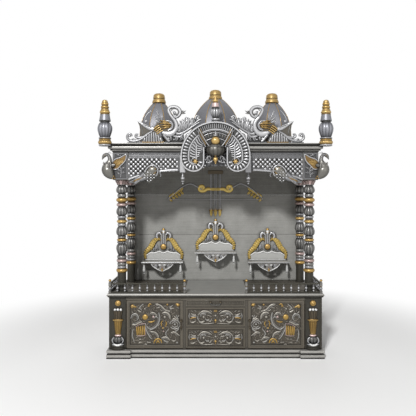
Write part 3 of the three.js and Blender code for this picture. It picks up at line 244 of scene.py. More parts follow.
def make_material(name, look):
    material = bpy.data.materials.new(name)
    material.use_nodes = True
    tree = material.node_tree
    shader = tree.nodes["Principled BSDF"]
    shader.inputs["Metallic"].default_value = look.metallic
    shader.inputs["Specular IOR Level"].default_value = look.gloss
    coords = tree.nodes.new("ShaderNodeTexCoord").outputs["Object"]
    speckle = noise(tree, coords, SPECKLE)
    tarnish = noise(tree, coords, TARNISH, 3.0)
    # Ambient occlusion paints shade into hollows, creases and the gaps between parts
    painted_hollow_shade = tree.nodes.new("ShaderNodeAmbientOcclusion")
    painted_hollow_shade.samples = 6
    painted_hollow_shade.inputs["Distance"].default_value = PAINTED_SHADE_REACH
    painted_shading = mapped(tree, painted_hollow_shade.outputs["AO"], 0.3, 0.95)
    if look.carved:
        # A painted light stored at each corner: painted highlights on crests, edges and the lit side,
        # painted shade in grooves and on the shaded side
        painted_light = tree.nodes.new("ShaderNodeAttribute")
        painted_light.attribute_name = "painted_light"
        height = mapped(tree, painted_light.outputs["Fac"], 0.05, 0.95)
        painted_shading = math_node(tree, "MULTIPLY", height, painted_shading)
    # Uncarved finishes keep only the painted shade in hollows, a little dimmed
    else:
        painted_shading = math_node(tree, "MULTIPLY", painted_shading, 0.8)
    # Real wear speckle, to which the painted shading is then added
    wear_and_painted_shading = math_node(tree, "MULTIPLY_ADD", speckle, look.wear, -look.wear / 2)
    wear_and_painted_shading = math_node(tree, "ADD", wear_and_painted_shading, painted_shading)
    aged = math_node(tree, "MULTIPLY_ADD", tarnish, look.wear, -look.wear / 2)
    tone = math_node(tree, "ADD", wear_and_painted_shading, aged)
    height_map = math_node(tree, "MULTIPLY", speckle, 0.35)
    if look.grain:
        mapping = tree.nodes.new("ShaderNodeMapping")
        scales = [GRAIN_ALONG if axis == look.grain else GRAIN_ACROSS for axis in "xyz"]
        mapping.inputs["Scale"].default_value = scales
        link(tree, coords, mapping.inputs["Vector"])
        fibres = noise(tree, mapping.outputs["Vector"], 1.0, 6.0)
        streak = math_node(tree, "MULTIPLY_ADD", fibres, 0.5, -0.25)
        tone = math_node(tree, "ADD", tone, streak)
        height_map = math_node(tree, "ADD", height_map, fibres)
    mix = tree.nodes.new("ShaderNodeMix")
    mix.data_type = "RGBA"
    link(tree, mapped(tree, tone, 0.0, 1.0), mix.inputs["Factor"])
    mix.inputs["A"].default_value = (*look.dark, 1)
    mix.inputs["B"].default_value = (*look.bright, 1)
    link(tree, mix.outputs["Result"], shader.inputs["Base Color"])
    link(tree, mapped(tree, tone, 0.0, 1.0, look.rough + 0.25, look.rough), shader.inputs["Roughness"])
    bump = tree.nodes.new("ShaderNodeBump")
    bump.inputs["Strength"].default_value = 0.12
    bump.inputs["Distance"].default_value = BUMP
    link(tree, height_map, bump.inputs["Height"])
    link(tree, bump.outputs["Normal"], shader.inputs["Normal"])
    return material


MATERIALS = {name: make_material(name, look) for name, look in FINISHES.items()}


# Meshes

class Plane:
    """Carving ground: u runs across, v up and w out of it"""

    def __init__(self, x, y, z, across=(1, 0, 0), up=(0, 0, 1), out=(0, -1, 0)):
        self.origin = np.array((x, y, z), float)
        self.axes = np.array((across, up, out), float)

    def place(self, points):
        return self.origin + np.asarray(points, float) @ self.axes

    def moved(self, u=0.0, v=0.0, w=0.0):
        return Plane(*self.place((u, v, w)), *self.axes)


class Carving:
    """Gathers closed shapes, in millimetres, that become one piece"""

    def __init__(self):
        self.parts = []

    def add(self, verts, faces, finish, painted_light):
        """faces and finish are lists of like length; the painted light is one number or one for each
        vertex
        """
        verts = np.asarray(verts, float).reshape(-1, 3)
        shifted = verts - verts.mean(0)
        volume = 0.0
        for group in faces:
            for k in range(1, group.shape[1] - 1):
                a, b, c = (shifted[group[:, i]] for i in (0, k, k + 1))
                volume += np.einsum("ij,ij->", a, np.cross(b, c))
        if volume < 0:
            faces = [group[:, ::-1] for group in faces]
        painted_lights = [np.broadcast_to(painted_light, len(verts))[group] for group in faces]
        self.parts.append([verts, faces, finish, painted_lights])

    def mirrored(self):
        copy = Carving()
        for verts, faces, finish, painted_lights in self.parts:
            flipped = [group[:, ::-1] for group in faces]
            copy.parts.append([verts * (-1, 1, 1), flipped, finish, [painted_light[:, ::-1] for painted_light in painted_lights]])
        return copy

    def join(self, other):
        self.parts.extend(other.parts)


def piece(name, work, body, slot, *nodes, sharp=38):
    """Makes one object from a carving, which rides on a body and stands for the nodes"""
    verts, loops, starts, slots, painted_lights, names = [], [], [], [], [], []
    base = corner = 0
    for part_verts, faces, finish, part_painted_lights in work.parts:
        for group, look, painted_light in zip(faces, finish, part_painted_lights):
            if look not in names:
                names.append(look)
            loops.append((group + base).ravel())
            painted_lights.append(painted_light.ravel())
            starts.append(corner + np.arange(len(group)) * group.shape[1])
            slots.append(np.full(len(group), names.index(look)))
            corner += group.size
        verts.append(part_verts)
        base += len(part_verts)
    mesh = bpy.data.meshes.new(name)
    points = np.concatenate(verts) * MM
    corners = np.concatenate(loops)
    mesh.vertices.add(len(points))
    mesh.vertices.foreach_set("co", points.astype(np.float32).ravel())
    mesh.loops.add(len(corners))
    mesh.loops.foreach_set("vertex_index", corners.astype(np.int32))
    first = np.concatenate(starts)
    mesh.polygons.add(len(first))
    mesh.polygons.foreach_set("loop_start", first.astype(np.int32))
    mesh.polygons.foreach_set("material_index", np.concatenate(slots).astype(np.int32))
    mesh.polygons.foreach_set("use_smooth", np.ones(len(first), bool))
    # Every corner keeps its painted light, which the materials turn into painted highlight and shade
    attribute = mesh.attributes.new("painted_light", "FLOAT", "CORNER")
    attribute.data.foreach_set("value", np.concatenate(painted_lights).astype(np.float32))
    mesh.update(calc_edges=True)
    mesh.set_sharp_from_angle(angle=math.radians(sharp))
    for look in names:
        mesh.materials.append(MATERIALS[look])
    obj = bpy.data.objects.new(name, mesh)
    bpy.context.scene.collection.objects.link(obj)
    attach(obj, body)
    if nodes:
        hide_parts(*nodes)
    return obj


def pair(name, work, slot, node, bodies=("cabinet", "cabinet")):
    """A left piece and its mirror image"""
    piece(f"{name}_left_carved", work, bodies[0], slot, f"{node}_left")
    piece(f"{name}_right_carved", work.mirrored(), bodies[1], slot, f"{node}_right")


def dress(node, finish):
    """Gives a node of the frame a finish"""
    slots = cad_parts[node].material_slots
    for slot in slots:
        slot.link = "OBJECT"
        slot.material = MATERIALS[finish]


def grid(rows, columns):
    """Quads between rows of points that close on themselves"""
    i = np.arange(rows - 1)[:, None] * columns
    j = np.arange(columns)[None, :]
    k = (j + 1) % columns
    return np.stack([i + j, i + k, i + k + columns, i + j + columns], -1).reshape(-1, 4)


def skin(work, rings, finish, painted_light=0.6, closed=False):
    """A skin over rings of points, closed by two ends or on itself; finish is a name or one a band"""
    rings = np.asarray(rings, float)
    rows, columns = rings.shape[:2]
    quads = grid(rows, columns)
    if closed:
        last = grid(2, columns)
        last = np.where(last < columns, last + (rows - 1) * columns, last - columns)
        work.add(rings, [quads, last], [finish] * 2, painted_light)
        return
    ends = [np.arange(columns)[None, ::-1], (rows - 1) * columns + np.arange(columns)[None, :]]
    if isinstance(finish, str):
        work.add(rings, [quads, *ends], [finish] * 3, painted_light)
        return
    bands = [quads[k * columns:(k + 1) * columns] for k in range(rows - 1)]
    work.add(rings, [*bands, *ends], [*finish, finish[0], finish[-1]], painted_light)


def spline(points, steps):
    """A smooth curve through the points, which may have any number of columns"""
    p = np.asarray(points, float)
    t = np.linspace(0, len(p) - 1, steps + 1)
    i = np.minimum(t.astype(int), len(p) - 2)
    f = (t - i)[:, None]
    e = np.vstack([2 * p[0] - p[1], p, 2 * p[-1] - p[-2]])
    a, b, c, d = (e[i + k] for k in range(4))
    return 0.5 * (2 * b + (c - a) * f + (2 * a - 5 * b + 4 * c - d) * f**2
                  + (3 * b - a - 3 * c + d) * f**3)


def section(tops):
    """A closed section from (across, deep, painted light) along its top, in shares of half width and
    height
    """
    under = [(tops[-1][0] * 0.8, -0.2, 0.0), (tops[0][0] * 0.8, -0.2, 0.0)]
    return np.array([*tops, *under])


# The third column of each section is painted light: a painted highlight along its crest, and painted shade
# at its edges and, for a leaf, along its midrib
ACROSS = np.linspace(-1, 1, 9)
ROUND = np.array([(math.cos(a), math.sin(a), max(math.sin(a), 0.05)) for a in np.arange(10) * TAU / 10])
VINE = section([(s, math.sqrt(1 - s * s) * 0.9 + 0.1, math.sqrt(1 - s * s)) for s in ACROSS])
LEAF = section([
    (s, (1 - s * s) ** 0.6 - 0.35 * math.exp(-(s / 0.16) ** 2),
     (1 - abs(s)) ** 0.5 * (1 - 0.9 * math.exp(-(s / 0.2) ** 2)))
    for s in np.linspace(-1, 1, 11)
])
BAR = section([(-1, 0, 0.2), (-1, 0.8, 0.7), (-0.75, 1, 1), (0.75, 1, 1), (1, 0.8, 0.7), (1, 0, 0.2)])


def sweep(work, plane, points, finish, form=VINE, steps=16, lobes=0, cut=0.35, shade=1.0):
    """Runs a section along a curve of (u, v, half width[, height[, w]])"""
    rows = [tuple(p) + ((p[2], 0.0) if len(p) == 3 else (0.0,) if len(p) == 4 else ()) for p in points]
    path = spline(rows, steps) if len(rows) > 1 else np.array(rows)
    along = np.gradient(path[:, :2], axis=0)
    along /= np.maximum(np.linalg.norm(along, axis=1), 1e-9)[:, None]
    half = np.maximum(path[:, 2], 0.15)
    high = np.maximum(path[:, 3], 0.15)
    lobe = np.ones(len(path))
    if lobes:
        wave = np.abs(np.sin(math.pi * lobes * np.linspace(0, 1, len(path)))) ** 0.6
        lobe = 1 - cut * (1 - wave)
    sides = np.stack([-along[:, 1], along[:, 0]], -1)
    local = np.zeros((len(path), len(form), 3))
    reach = form[None, :, 0] * (half * lobe)[:, None]
    local[..., 0] = path[:, 0, None] + sides[:, 0, None] * reach
    local[..., 1] = path[:, 1, None] + sides[:, 1, None] * reach
    local[..., 2] = path[:, 4, None] + form[None, :, 1] * high[:, None]
    # Painted light from the section, with painted shade in the notches between lobes, scaled by shade
    painted_light = np.broadcast_to(form[None, :, 2], local.shape[:2]) * (0.55 + 0.45 * lobe[:, None]) * shade
    skin(work, plane.place(local), finish, painted_light.ravel())


def strand(work, plane, rows, high, finish, steps, form=VINE, side=1, shade=1.0):
    """Sweeps rows of (u, v, half width) that have one height, mirrored where side is -1"""
    points = [(side * u, v, half, high) for u, v, half in rows]
    sweep(work, plane, points, finish, form, steps, shade=shade)


def leaf(work, plane, u, v, angle, length, half, finish, high=None, bend=0.0, lobes=0, form=LEAF):
    """A leaf from (u, v) that points along an angle and bends to one side"""
    turn = math.radians(angle)
    along = np.array((math.cos(turn), math.sin(turn)))
    side = np.array((-along[1], along[0]))
    high = half * 0.8 if high is None else high
    points = []
    for share, width in ((0, 0.25), (0.25, 0.85), (0.55, 1.0), (0.8, 0.62), (1, 0.03)):
        at = np.array((u, v)) + along * length * share + side * bend * length * share * share
        points.append((*at, half * width, high * (0.35 + 0.65 * width)))
    sweep(work, plane, points, finish, form, 6 + 4 * lobes if lobes else 8, lobes)


def ball(work, centre, radius, finish, squash=(1, 1, 1), rows=7, columns=12, out=(0, -1, 0)):
    """A round bead at a point in space"""
    polar = np.linspace(0.06, math.pi - 0.06, rows)
    around = np.arange(columns) * TAU / columns
    unit = np.stack([
        np.sin(polar)[:, None] * np.cos(around),
        np.sin(polar)[:, None] * np.sin(around),
        np.broadcast_to(np.cos(polar)[:, None], (rows, columns)),
    ], -1)
    # Painted light: the side that faces out is lit, the far side has painted shade
    painted_light = np.clip(0.45 + 0.6 * (unit @ np.array(out, float)), 0.05, 1)
    skin(work, np.asarray(centre) + unit * np.array(squash) * radius, finish, painted_light.ravel())


def bead(work, plane, u, v, radius, finish, w=0.0):
    """A bead on a carving ground"""
    ball(work, plane.place((u, v, w)), radius, finish, out=plane.axes[2])


def scroll(work, plane, u, v, radius, start, turns, half, finish, hand=1, high=None):
    """A spiral that winds in to a bead; start is the angle, in degrees, of its outer end"""
    count = max(5, int(abs(turns) * 8))
    high = half if high is None else high
    points = []
    for k in range(count + 1):
        share = k / count
        angle = math.radians(start) + hand * turns * TAU * share
        reach = radius * (1 - 0.72 * share ** 0.85)
        points.append((u + reach * math.cos(angle), v + reach * math.sin(angle), half * (1 - 0.5 * share),
                       high * (1 - 0.3 * share)))
    sweep(work, plane, points, finish, VINE, count * 2)
    bead(work, plane, u, v, half * 1.15, finish, high * 0.35)


def sprouts(work, plane, points, finish, spacing, length, half, angle, lobes, skip):
    """Leaves that leave a stem in turn to either side, but for a share to skip at its ends"""
    path = spline([p[:2] for p in points], 60)
    step = np.linalg.norm(np.diff(path, axis=0), axis=1)
    run = np.concatenate([[0], np.cumsum(step)])
    count = max(1, int(run[-1] * (1 - 2 * skip) / spacing))
    for k in range(count):
        at = run[-1] * (skip + (1 - 2 * skip) * (k + 0.5) / count)
        i = min(int(np.searchsorted(run, at)), len(path) - 2)
        heading = math.degrees(math.atan2(*(path[i + 1] - path[i])[::-1]))
        side = -1 if k % 2 else 1
        leaf(work, plane, *path[i], heading + side * angle, length, half, finish, bend=side * 0.35,
             lobes=lobes)


def block(work, x0, x1, y0, y1, z0, z1, finish, edge=1.2, level=0.55):
    """A box with a painted highlight on its small chamfers and a lower painted light on its faces"""
    flat = np.array([(x0 + edge, y0), (x1 - edge, y0), (x1, y0 + edge), (x1, y1 - edge),
                     (x1 - edge, y1), (x0 + edge, y1), (x0, y1 - edge), (x0, y0 + edge)], float)
    centre = np.array(((x0 + x1) / 2, (y0 + y1) / 2))
    half = np.array(((x1 - x0) / 2, (y1 - y0) / 2))
    small = centre + (flat - centre) * (half - edge) / half
    layers = ((small, z0), (flat, z0 + edge), (flat, z1 - edge), (small, z1))
    verts = np.concatenate([np.column_stack([ring, np.full(8, z)]) for ring, z in layers])
    quads = grid(4, 8)
    # The chamfers carry a painted highlight
    chamfer = np.ones(len(quads))
    chamfer[8:16:2] = level
    ends = np.array([np.arange(8)[::-1], np.arange(24, 32)])
    painted_lights = [np.repeat(chamfer[:, None], 4, 1), np.full(ends.shape, level)]
    work.parts.append([verts, [quads, ends], [finish] * 2, painted_lights])


def terrace(work, plane, u0, u1, v0, v1, steps, finish):
    """A panel from rectangles of (inset, w, painted light), from its back to its ground"""
    rings, painted_light = [], []
    for inset, w, level in steps:
        a, b, c, d = u0 + inset, u1 - inset, v0 + inset, v1 - inset
        rings.append(plane.place([(a, c, w), (b, c, w), (b, d, w), (a, d, w)]))
        painted_light += [level] * 4
    skin(work, rings, finish, painted_light)


def boss(work, plane, u, v, steps, finish, sides, turn=0.0):
    """A low boss with sides, from (reach, w, painted light) of its back to those of its top"""
    angles = np.arange(sides) * TAU / sides + turn
    rings, painted_light = [], []
    for reach, w, level in steps:
        rings.append(plane.place([(u + reach * math.cos(a), v + reach * math.sin(a), w) for a in angles]))
        painted_light += [level] * sides
    skin(work, rings, finish, painted_light)


def turned(work, x, y, z, height, radius, members, segments, front_half=False, deep=1.0):
    """A turning of members (finish, shape, from, to, radius, wide radius[, flutes, cut]), in shares"""
    angles = np.arange(segments) * TAU / segments
    if front_half:
        angles = np.linspace(math.pi, TAU, segments)
    rings, painted_light, finishes = [], [], []
    for finish, shape, low, high, r0, r1, *more in members:
        flutes, cut = more or (0, 0)
        count = {"line": 1, "ring": 6, "vase": 14, "urn": 14}[shape]
        for k in range(count + 1):
            t = k / count
            if shape == "line":
                r, level = r0 + (r1 - r0) * t, 0.6
            else:
                skew = {"ring": t, "vase": t ** 0.8, "urn": t ** 1.35}[shape]
                bulge = math.sin(math.pi * skew) ** (0.75 if shape == "ring" else 0.8)
                # Swellings get a painted highlight, their narrow ends painted shade
                r, level = r0 + (r1 - r0) * bulge, 0.15 + 0.85 * bulge
            wave = np.ones(segments)
            if flutes:
                wave = np.abs(np.cos(angles * flutes / 2)) ** 0.55
                swell = math.sin(math.pi * min(max(t, 0.02), 0.98)) ** 0.4
                ring_radius = radius * r * (1 - cut * swell * (1 - wave))
            else:
                ring_radius = np.full(segments, radius * r)
            at = np.stack([x + np.cos(angles) * ring_radius, y + np.sin(angles) * ring_radius * deep,
                           np.full(segments, z + height * (low + (high - low) * t))], -1)
            if rings and np.allclose(rings[-1], at, atol=0.01):
                continue
            rings.append(at)
            # Flute crests keep the painted highlight; the flutes between them get painted shade
            painted_light.append(level * (wave if flutes else 1) * np.ones(segments))
            finishes.append(finish)
    bands = [finishes[k + 1] for k in range(len(rings) - 1)]
    skin(work, rings, bands, np.concatenate(painted_light))


def bead_ring(work, x, y, z, reach, count, radius, finish):
    for k in range(count):
        angle = TAU * k / count
        outward = (math.cos(angle), math.sin(angle), 0)
        ball(work, (x + reach * outward[0], y + reach * outward[1], z), radius, finish, rows=5,
             columns=8, out=outward)


def tube(work, points, finish, steps=24, sides=8):
    """A round bar along a curve in space; each point holds x, y, z and radius"""
    path = spline(points, steps)
    along = np.gradient(path[:, :3], axis=0)
    along /= np.maximum(np.linalg.norm(along, axis=1), 1e-9)[:, None]
    side = np.cross(along, (0.31, 0.2, 0.93))
    side /= np.maximum(np.linalg.norm(side, axis=1), 1e-9)[:, None]
    over = np.cross(along, side)
    angles = np.arange(sides) * TAU / sides
    reach = np.maximum(path[:, 3], 0.1)[:, None, None]
    spokes = side[:, None] * np.cos(angles)[:, None] + over[:, None] * np.sin(angles)[:, None]
    skin(work, path[:, None, :3] + spokes * reach, finish, 0.8)


def moulding(work, corners, profile, z, finish, closed=False):
    """A slab whose edge follows a profile of (outwards, upwards, painted light) round a right-angled plan
    """
    plan = np.asarray(corners, float)
    before = plan - np.roll(plan, 1, 0)
    after = np.roll(plan, -1, 0) - plan
    before /= np.linalg.norm(before, axis=1)[:, None]
    after /= np.linalg.norm(after, axis=1)[:, None]
    area = np.sum(plan[:, 0] * np.roll(plan[:, 1], -1) - np.roll(plan[:, 0], -1) * plan[:, 1])
    move = np.stack([before[:, 1] + after[:, 1], -(before[:, 0] + after[:, 0])], -1) * np.sign(area)
    rings, painted_light = [], []
    for out, up, level in profile:
        flat = plan + move * out
        rings.append(np.column_stack([flat, np.full(len(plan), z + up)]))
        painted_light += [level] * len(plan)
    skin(work, rings, finish, painted_light, closed)


def rounded(out0, up0, out1, up1, bulge, painted_light):
    """Profile points of a round or hollow member; its painted light is that of its start, middle and end
    """
    points = []
    steps = 5
    for k in range(steps + 1):
        t = k / steps
        points.append((out0 + (out1 - out0) * t + bulge * math.sin(math.pi * t), up0 + (up1 - up0) * t,
                       np.interp(t, (0, 0.5, 1), painted_light)))
    return points


def cutout(work, plane, outline, holes, back, face, edge, finish, shade=0.6):
    """A plate with a bevelled edge, cut to an outline in u and v with holes"""
    curve = bpy.data.curves.new("outline", "CURVE")
    curve.dimensions = "2D"
    curve.fill_mode = "BOTH"
    curve.extrude = (face - back) / 2 - edge
    curve.bevel_depth = edge
    curve.bevel_resolution = 0
    curve.offset = -edge
    for ring in (outline, *holes):
        line = curve.splines.new("POLY")
        line.points.add(len(ring) - 1)
        for point, (u, v) in zip(line.points, ring):
            point.co = (u, v, 0, 1)
        line.use_cyclic_u = True
    holder = bpy.data.objects.new("outline", curve)
    bpy.context.scene.collection.objects.link(holder)
    mesh = holder.evaluated_get(bpy.context.evaluated_depsgraph_get()).to_mesh()
    verts = np.array([v.co for v in mesh.vertices])
    groups = {}
    for polygon in mesh.polygons:
        corners = tuple(polygon.vertices)
        groups.setdefault(len(corners), []).append((corners, abs(polygon.normal.z)))
    faces, painted_lights = [], []
    for rows in groups.values():
        faces.append(np.array([row[0] for row in rows]))
        # Painted light by facing: front faces take shade, the bevel a painted highlight, the rest painted
        # shade
        level = np.array([shade if row[1] > 0.95 else 1.0 if row[1] > 0.3 else 0.12 for row in rows])
        painted_lights.append(np.repeat(level[:, None], faces[-1].shape[1], 1))
    bpy.data.objects.remove(holder)
    bpy.data.curves.remove(curve)
    verts[:, 2] += (face + back) / 2
    work.parts.append([plane.place(verts), faces, [finish] * len(faces), painted_lights])


# Places that several pieces share

FACE = box_of("drawer_upper").y0  # front of doors and drawers
BACK = FACE + 22  # and their back
FIELD = 6  # how far the carved fields are sunk


def front(y, x=0.0, z=0.0):
    """A carving ground that faces forwards"""
    return Plane(x, y, z)


def point_at(u, v, distance, degrees):
    """The point at a distance from (u, v), along an angle"""
    turn = math.radians(degrees)
    return u + distance * math.cos(turn), v + distance * math.sin(turn)


def rectangle(x0, x1, y0, y1):
    return [(x0, y0), (x1, y0), (x1, y1), (x0, y1)]


# Base

def plinth():
    """A moulded slab with a block at either end and two open bays behind its front"""
    box = box_of("plinth")
    block_width, step = 206, 20
    corners = [(box.x0, box.y0), (box.x0 + block_width, box.y0), (box.x0 + block_width, box.y0 + step),
               (box.x1 - block_width, box.y0 + step), (box.x1 - block_width, box.y0), (box.x1, box.y0),
               (box.x1, box.y1), (box.x0, box.y1)]
    # Each row's third number is painted light: painted highlights on the rounds, painted shade in the
    # grooves
    profile = [(-4, 0, 0.0), (-1, 5, 0.1), (-6, 9, 0.0),
               *rounded(-2, 11, -2, 33, 1.2, painted_light=(0.7, 1.2, 0.7)), (-9, 36, 0.0),
               *rounded(-12, 37, -12, 47, -2, painted_light=(0.0, 0.05, 0.0)),
               *rounded(-2, 49, -2, 68, 1.2, painted_light=(0.8, 1.3, 1.0)), (-5, 70, 0.7), (-110, 70, 0.4),
               (-110, 0, 0.1)]
    work = Carving()
    moulding(work, corners, profile, box.z0, "plinth", closed=True)
    # The profile's last two rows become the inner edge, round the bays
    bay, bay_front, bay_back, jamb, rail = 813, -230, 228, 100, 60
    verts = work.parts[0][0].reshape(len(profile), 8, 3)
    verts[-2:, :, 0] = [-bay, jamb - bay, jamb - bay, bay - jamb, bay - jamb, bay, bay, -bay]
    verts[-2:, :, 1] = [bay_front] * 6 + [bay_back] * 2
    block(work, -rail, rail, bay_front - 2, bay_back + 2, box.z0, box.z1, "plinth", 1)
    piece("plinth_moulded", work, "cabinet", "pewter", "plinth")


def top_board():
    """The deck, its moulded edge, the rail below it and two dark sheets of painted shade on the court
    floors
    """
    box = box_of("top_board")
    slab = 32
    # The third numbers are painted light on the moulded edge
    profile = [(-12, 0, 0.0), (-9, 3, 0.1), (-8, 9, 0.0),
               *rounded(-4, 11, -2, 26, 2.6, painted_light=(0.2, 0.6, 0.9)), (-4, 28, 0.95), (-6, 30, 0.9),
               (-8, 32, 0.9), (-14, 32, 0.5), (-16, 32, 0.5)]
    work = Carving()
    finishes = ["pewter"] * (len(profile) - 3) + ["deck"] * 2
    moulding(work, rectangle(box.x0, box.x1, box.y0, box.y1), profile, box.z1 - slab, finishes)
    reach = 5 - box_of("door_left").x0
    block(work, -reach, reach, FACE, BACK, box.z0, box.z1 - slab, "tray", 2)
    # Dark sheets on the court floors behind the railings stand for painted shade
    court = box_of("railing_left")
    for side in (-1, 1):
        x0, x1 = sorted((side * (court.x0 + 20), side * (court.x1 - 18)))
        block(work, x0, x1, court.y0 + 18, box.y1 - 4, box.z1 - 2, box.z1 + 0.3, "tray", 0.2)
    piece("top_board_moulded", work, "cabinet", "pewter", "top_board")


def foliage(work, plane, u0, u1, v0, v1, finish, pitch, seed):
    """Low leaves that fill a ground, turned by a gentle swirl"""
    chance = random.Random(seed)
    for row in range(int((v1 - v0) / pitch)):
        for k in range(int((u1 - u0) / pitch)):
            u = u0 + pitch * (k + 0.5 + 0.3 * (row % 2) + chance.uniform(-0.3, 0.3))
            v = v0 + pitch * (row + 0.5 + chance.uniform(-0.3, 0.3))
            length = pitch * chance.uniform(0.9, 1.3)
            turn = 220 * math.sin(u / 62 + seed) + 150 * math.cos(v / 47) + chance.uniform(-40, 40)
            tip = point_at(u, v, length, turn)
            inside = u0 + 3 < tip[0] < u1 - 3 and v0 + 3 < tip[1] < v1 - 3 and u < u1 - 3 and v < v1 - 3
            if inside:
                leaf(work, plane, u, v, turn, length, pitch * chance.uniform(0.2, 0.27), finish, 4.2,
                     bend=chance.uniform(-0.5, 0.5))


def strokes(work, plane, rows, finish, high=1.0):
    """Rounded strokes of (half width, points); those of four points or more have a thin inner fillet"""
    for half, *points in rows:
        last = len(points) - 1
        shaped = [(u, v, half * (0.35 + 0.65 * math.sin(math.pi * (0.12 + 0.76 * k / last))), half * high)
                  for k, (u, v) in enumerate(points)]
        sweep(work, plane, shaped, finish, VINE, 7 * last, shade=1.15)
        if last < 3:
            continue
        path = spline(shaped, 6 * last)
        turn = np.cross(path[-1][:2] - path[0][:2], path[len(path) // 2][:2] - path[0][:2])
        inner = []
        for k in range(1, len(path) - 1):
            ahead = path[k + 1][:2] - path[k - 1][:2]
            side = np.array([-ahead[1], ahead[0]]) / max(np.hypot(*ahead), 1e-6) * (-1 if turn > 0 else 1)
            u, v = path[k][:2] + side * (path[k][2] + 4.5)
            inner.append((u, v, 2.6, 3.2))
        sweep(work, plane, inner[::3], "old_silver", VINE, 7 * last)


def bracket(work, plane, x, low):
    """A half-round turned bracket with a silver crescent before it"""
    high, reach = 396, 57
    members = [("pewter_tall", "line", 0.0, 0.06, 0.9, 0.92),
               ("pewter_tall", "ring", 0.06, 0.10, 0.8, 0.86), ("silver", "ring", 0.10, 0.155, 0.66, 0.9),
               ("dark_silver", "urn", 0.155, 0.33, 0.4, 0.8, 10, 0.1),
               ("rose", "ring", 0.335, 0.385, 0.34, 0.5), ("old_gold", "ring", 0.385, 0.41, 0.36, 0.42),
               ("amber", "line", 0.41, 0.735, 0.40, 0.62, 12, 0.1),
               ("bright_gold", "line", 0.735, 0.75, 0.66, 0.78),
               ("bright_gold", "line", 0.75, 0.775, 0.80, 0.80), ("gold", "line", 0.775, 0.79, 0.6, 0.55),
               ("bronze", "line", 0.79, 1.0, 0.52, 0.7, 10, 0.1)]
    turned(work, x, FACE, low, high - low, reach, members, 41, front_half=True, deep=0.58)
    for side in (-1, 1):
        crescent = [(x + side * 30, 178, 3, 8), (x + side * 43, 160, 6.5, 12),
                    (x + side * 44, 140, 7, 12), (x + side * 33, 124, 4, 9)]
        sweep(work, plane.moved(w=8), crescent, "silver", VINE, 14)
        leaf(work, plane.moved(w=18), x + side * 13, 132, 90 + side * 10, 34, 8, "soft_silver", 8)
    leaf(work, plane.moved(w=22), x, 136, 90, 42, 9, "dark_silver", 8)
    sweep(work, plane.moved(w=22), [(x - 33, 124, 5, 7), (x - 18, 114, 9, 9), (x, 111, 10, 10),
                                    (x + 18, 114, 9, 9), (x + 33, 124, 5, 7)], "white", VINE, 18)


def pilaster():
    """A post with a faceted boss, three beads and a half-round turned bracket"""
    box = box_of("pilaster_left")
    work = Carving()
    plane = front(FACE)
    block(work, box.x0, box.x1, FACE, BACK, box.z0, box.z1, "pewter_tall", 2.5, 0.6)
    x = box.x0 + 77
    boss_height, beads_height = 459, 405
    for side in (-1, 1):
        sweep(work, plane, [(x + side * 64, box.z0 + 12, 3.5), (x + side * 64, box.z1 - 8, 3.5)],
              "pewter_tall", steps=2, shade=1.2)
    steps = [(26, -1, 0.2), (26, 4, 0.6), (22, 9, 1.0), (13, 11, 0.5), (10, 14, 1.0), (2, 17, 1.1)]
    boss(work, plane, x, boss_height, steps, "gold", 8, TAU / 16)
    block(work, x - 40, x + 40, FACE - 8, FACE + 2, beads_height - 13, beads_height + 13, "pewter_tall",
          1.5, 0.5)
    for k, radius in ((-1, 12), (0, 14), (1, 13)):
        bead(work, plane, x + k * 24, beads_height, radius, "white", 6)
    bracket(work, plane, x, box.z0 + 1.7)
    pair("pilaster", work, "pewter", "pilaster")


def flower(work, plane, u, v, radius, finish, eye, petals=6):
    """Petals round a bead"""
    for k in range(petals):
        turn = 360 * k / petals + 15
        foot = point_at(u, v, radius * 0.18, turn)
        leaf(work, plane, *foot, turn, radius * 0.82, radius * 0.3, finish, radius * 0.3)
    bead(work, plane, u, v, radius * 0.26, eye, radius * 0.16)


def ears(work, x, y, z, back, radius):
    """Two ears with a pin between them, on a rosette; a pull hangs from them"""
    for side in (-1, 1):
        block(work, x + side * 5.4 - 1.5, x + side * 5.4 + 1.5, y - 4, back, z - 4, z + 4, "bronze", 0.4)
    tube(work, [(x + reach, y, z, 2) for reach in (-5.3, 0, 5.3)], "bronze", 2)
    flower(work, front(FACE), x, z, radius, "bronze", "bronze", 8)


def eyelet(work, x, y, z, steps, sides):
    """A ring that turns on a pin, from (side, radius) round its section"""
    angles = np.arange(sides) * TAU / sides
    rings = [[(x + side, y + r * math.cos(a), z + r * math.sin(a)) for a in angles] for side, r in steps]
    skin(work, rings, "bronze", 0.8, closed=True)


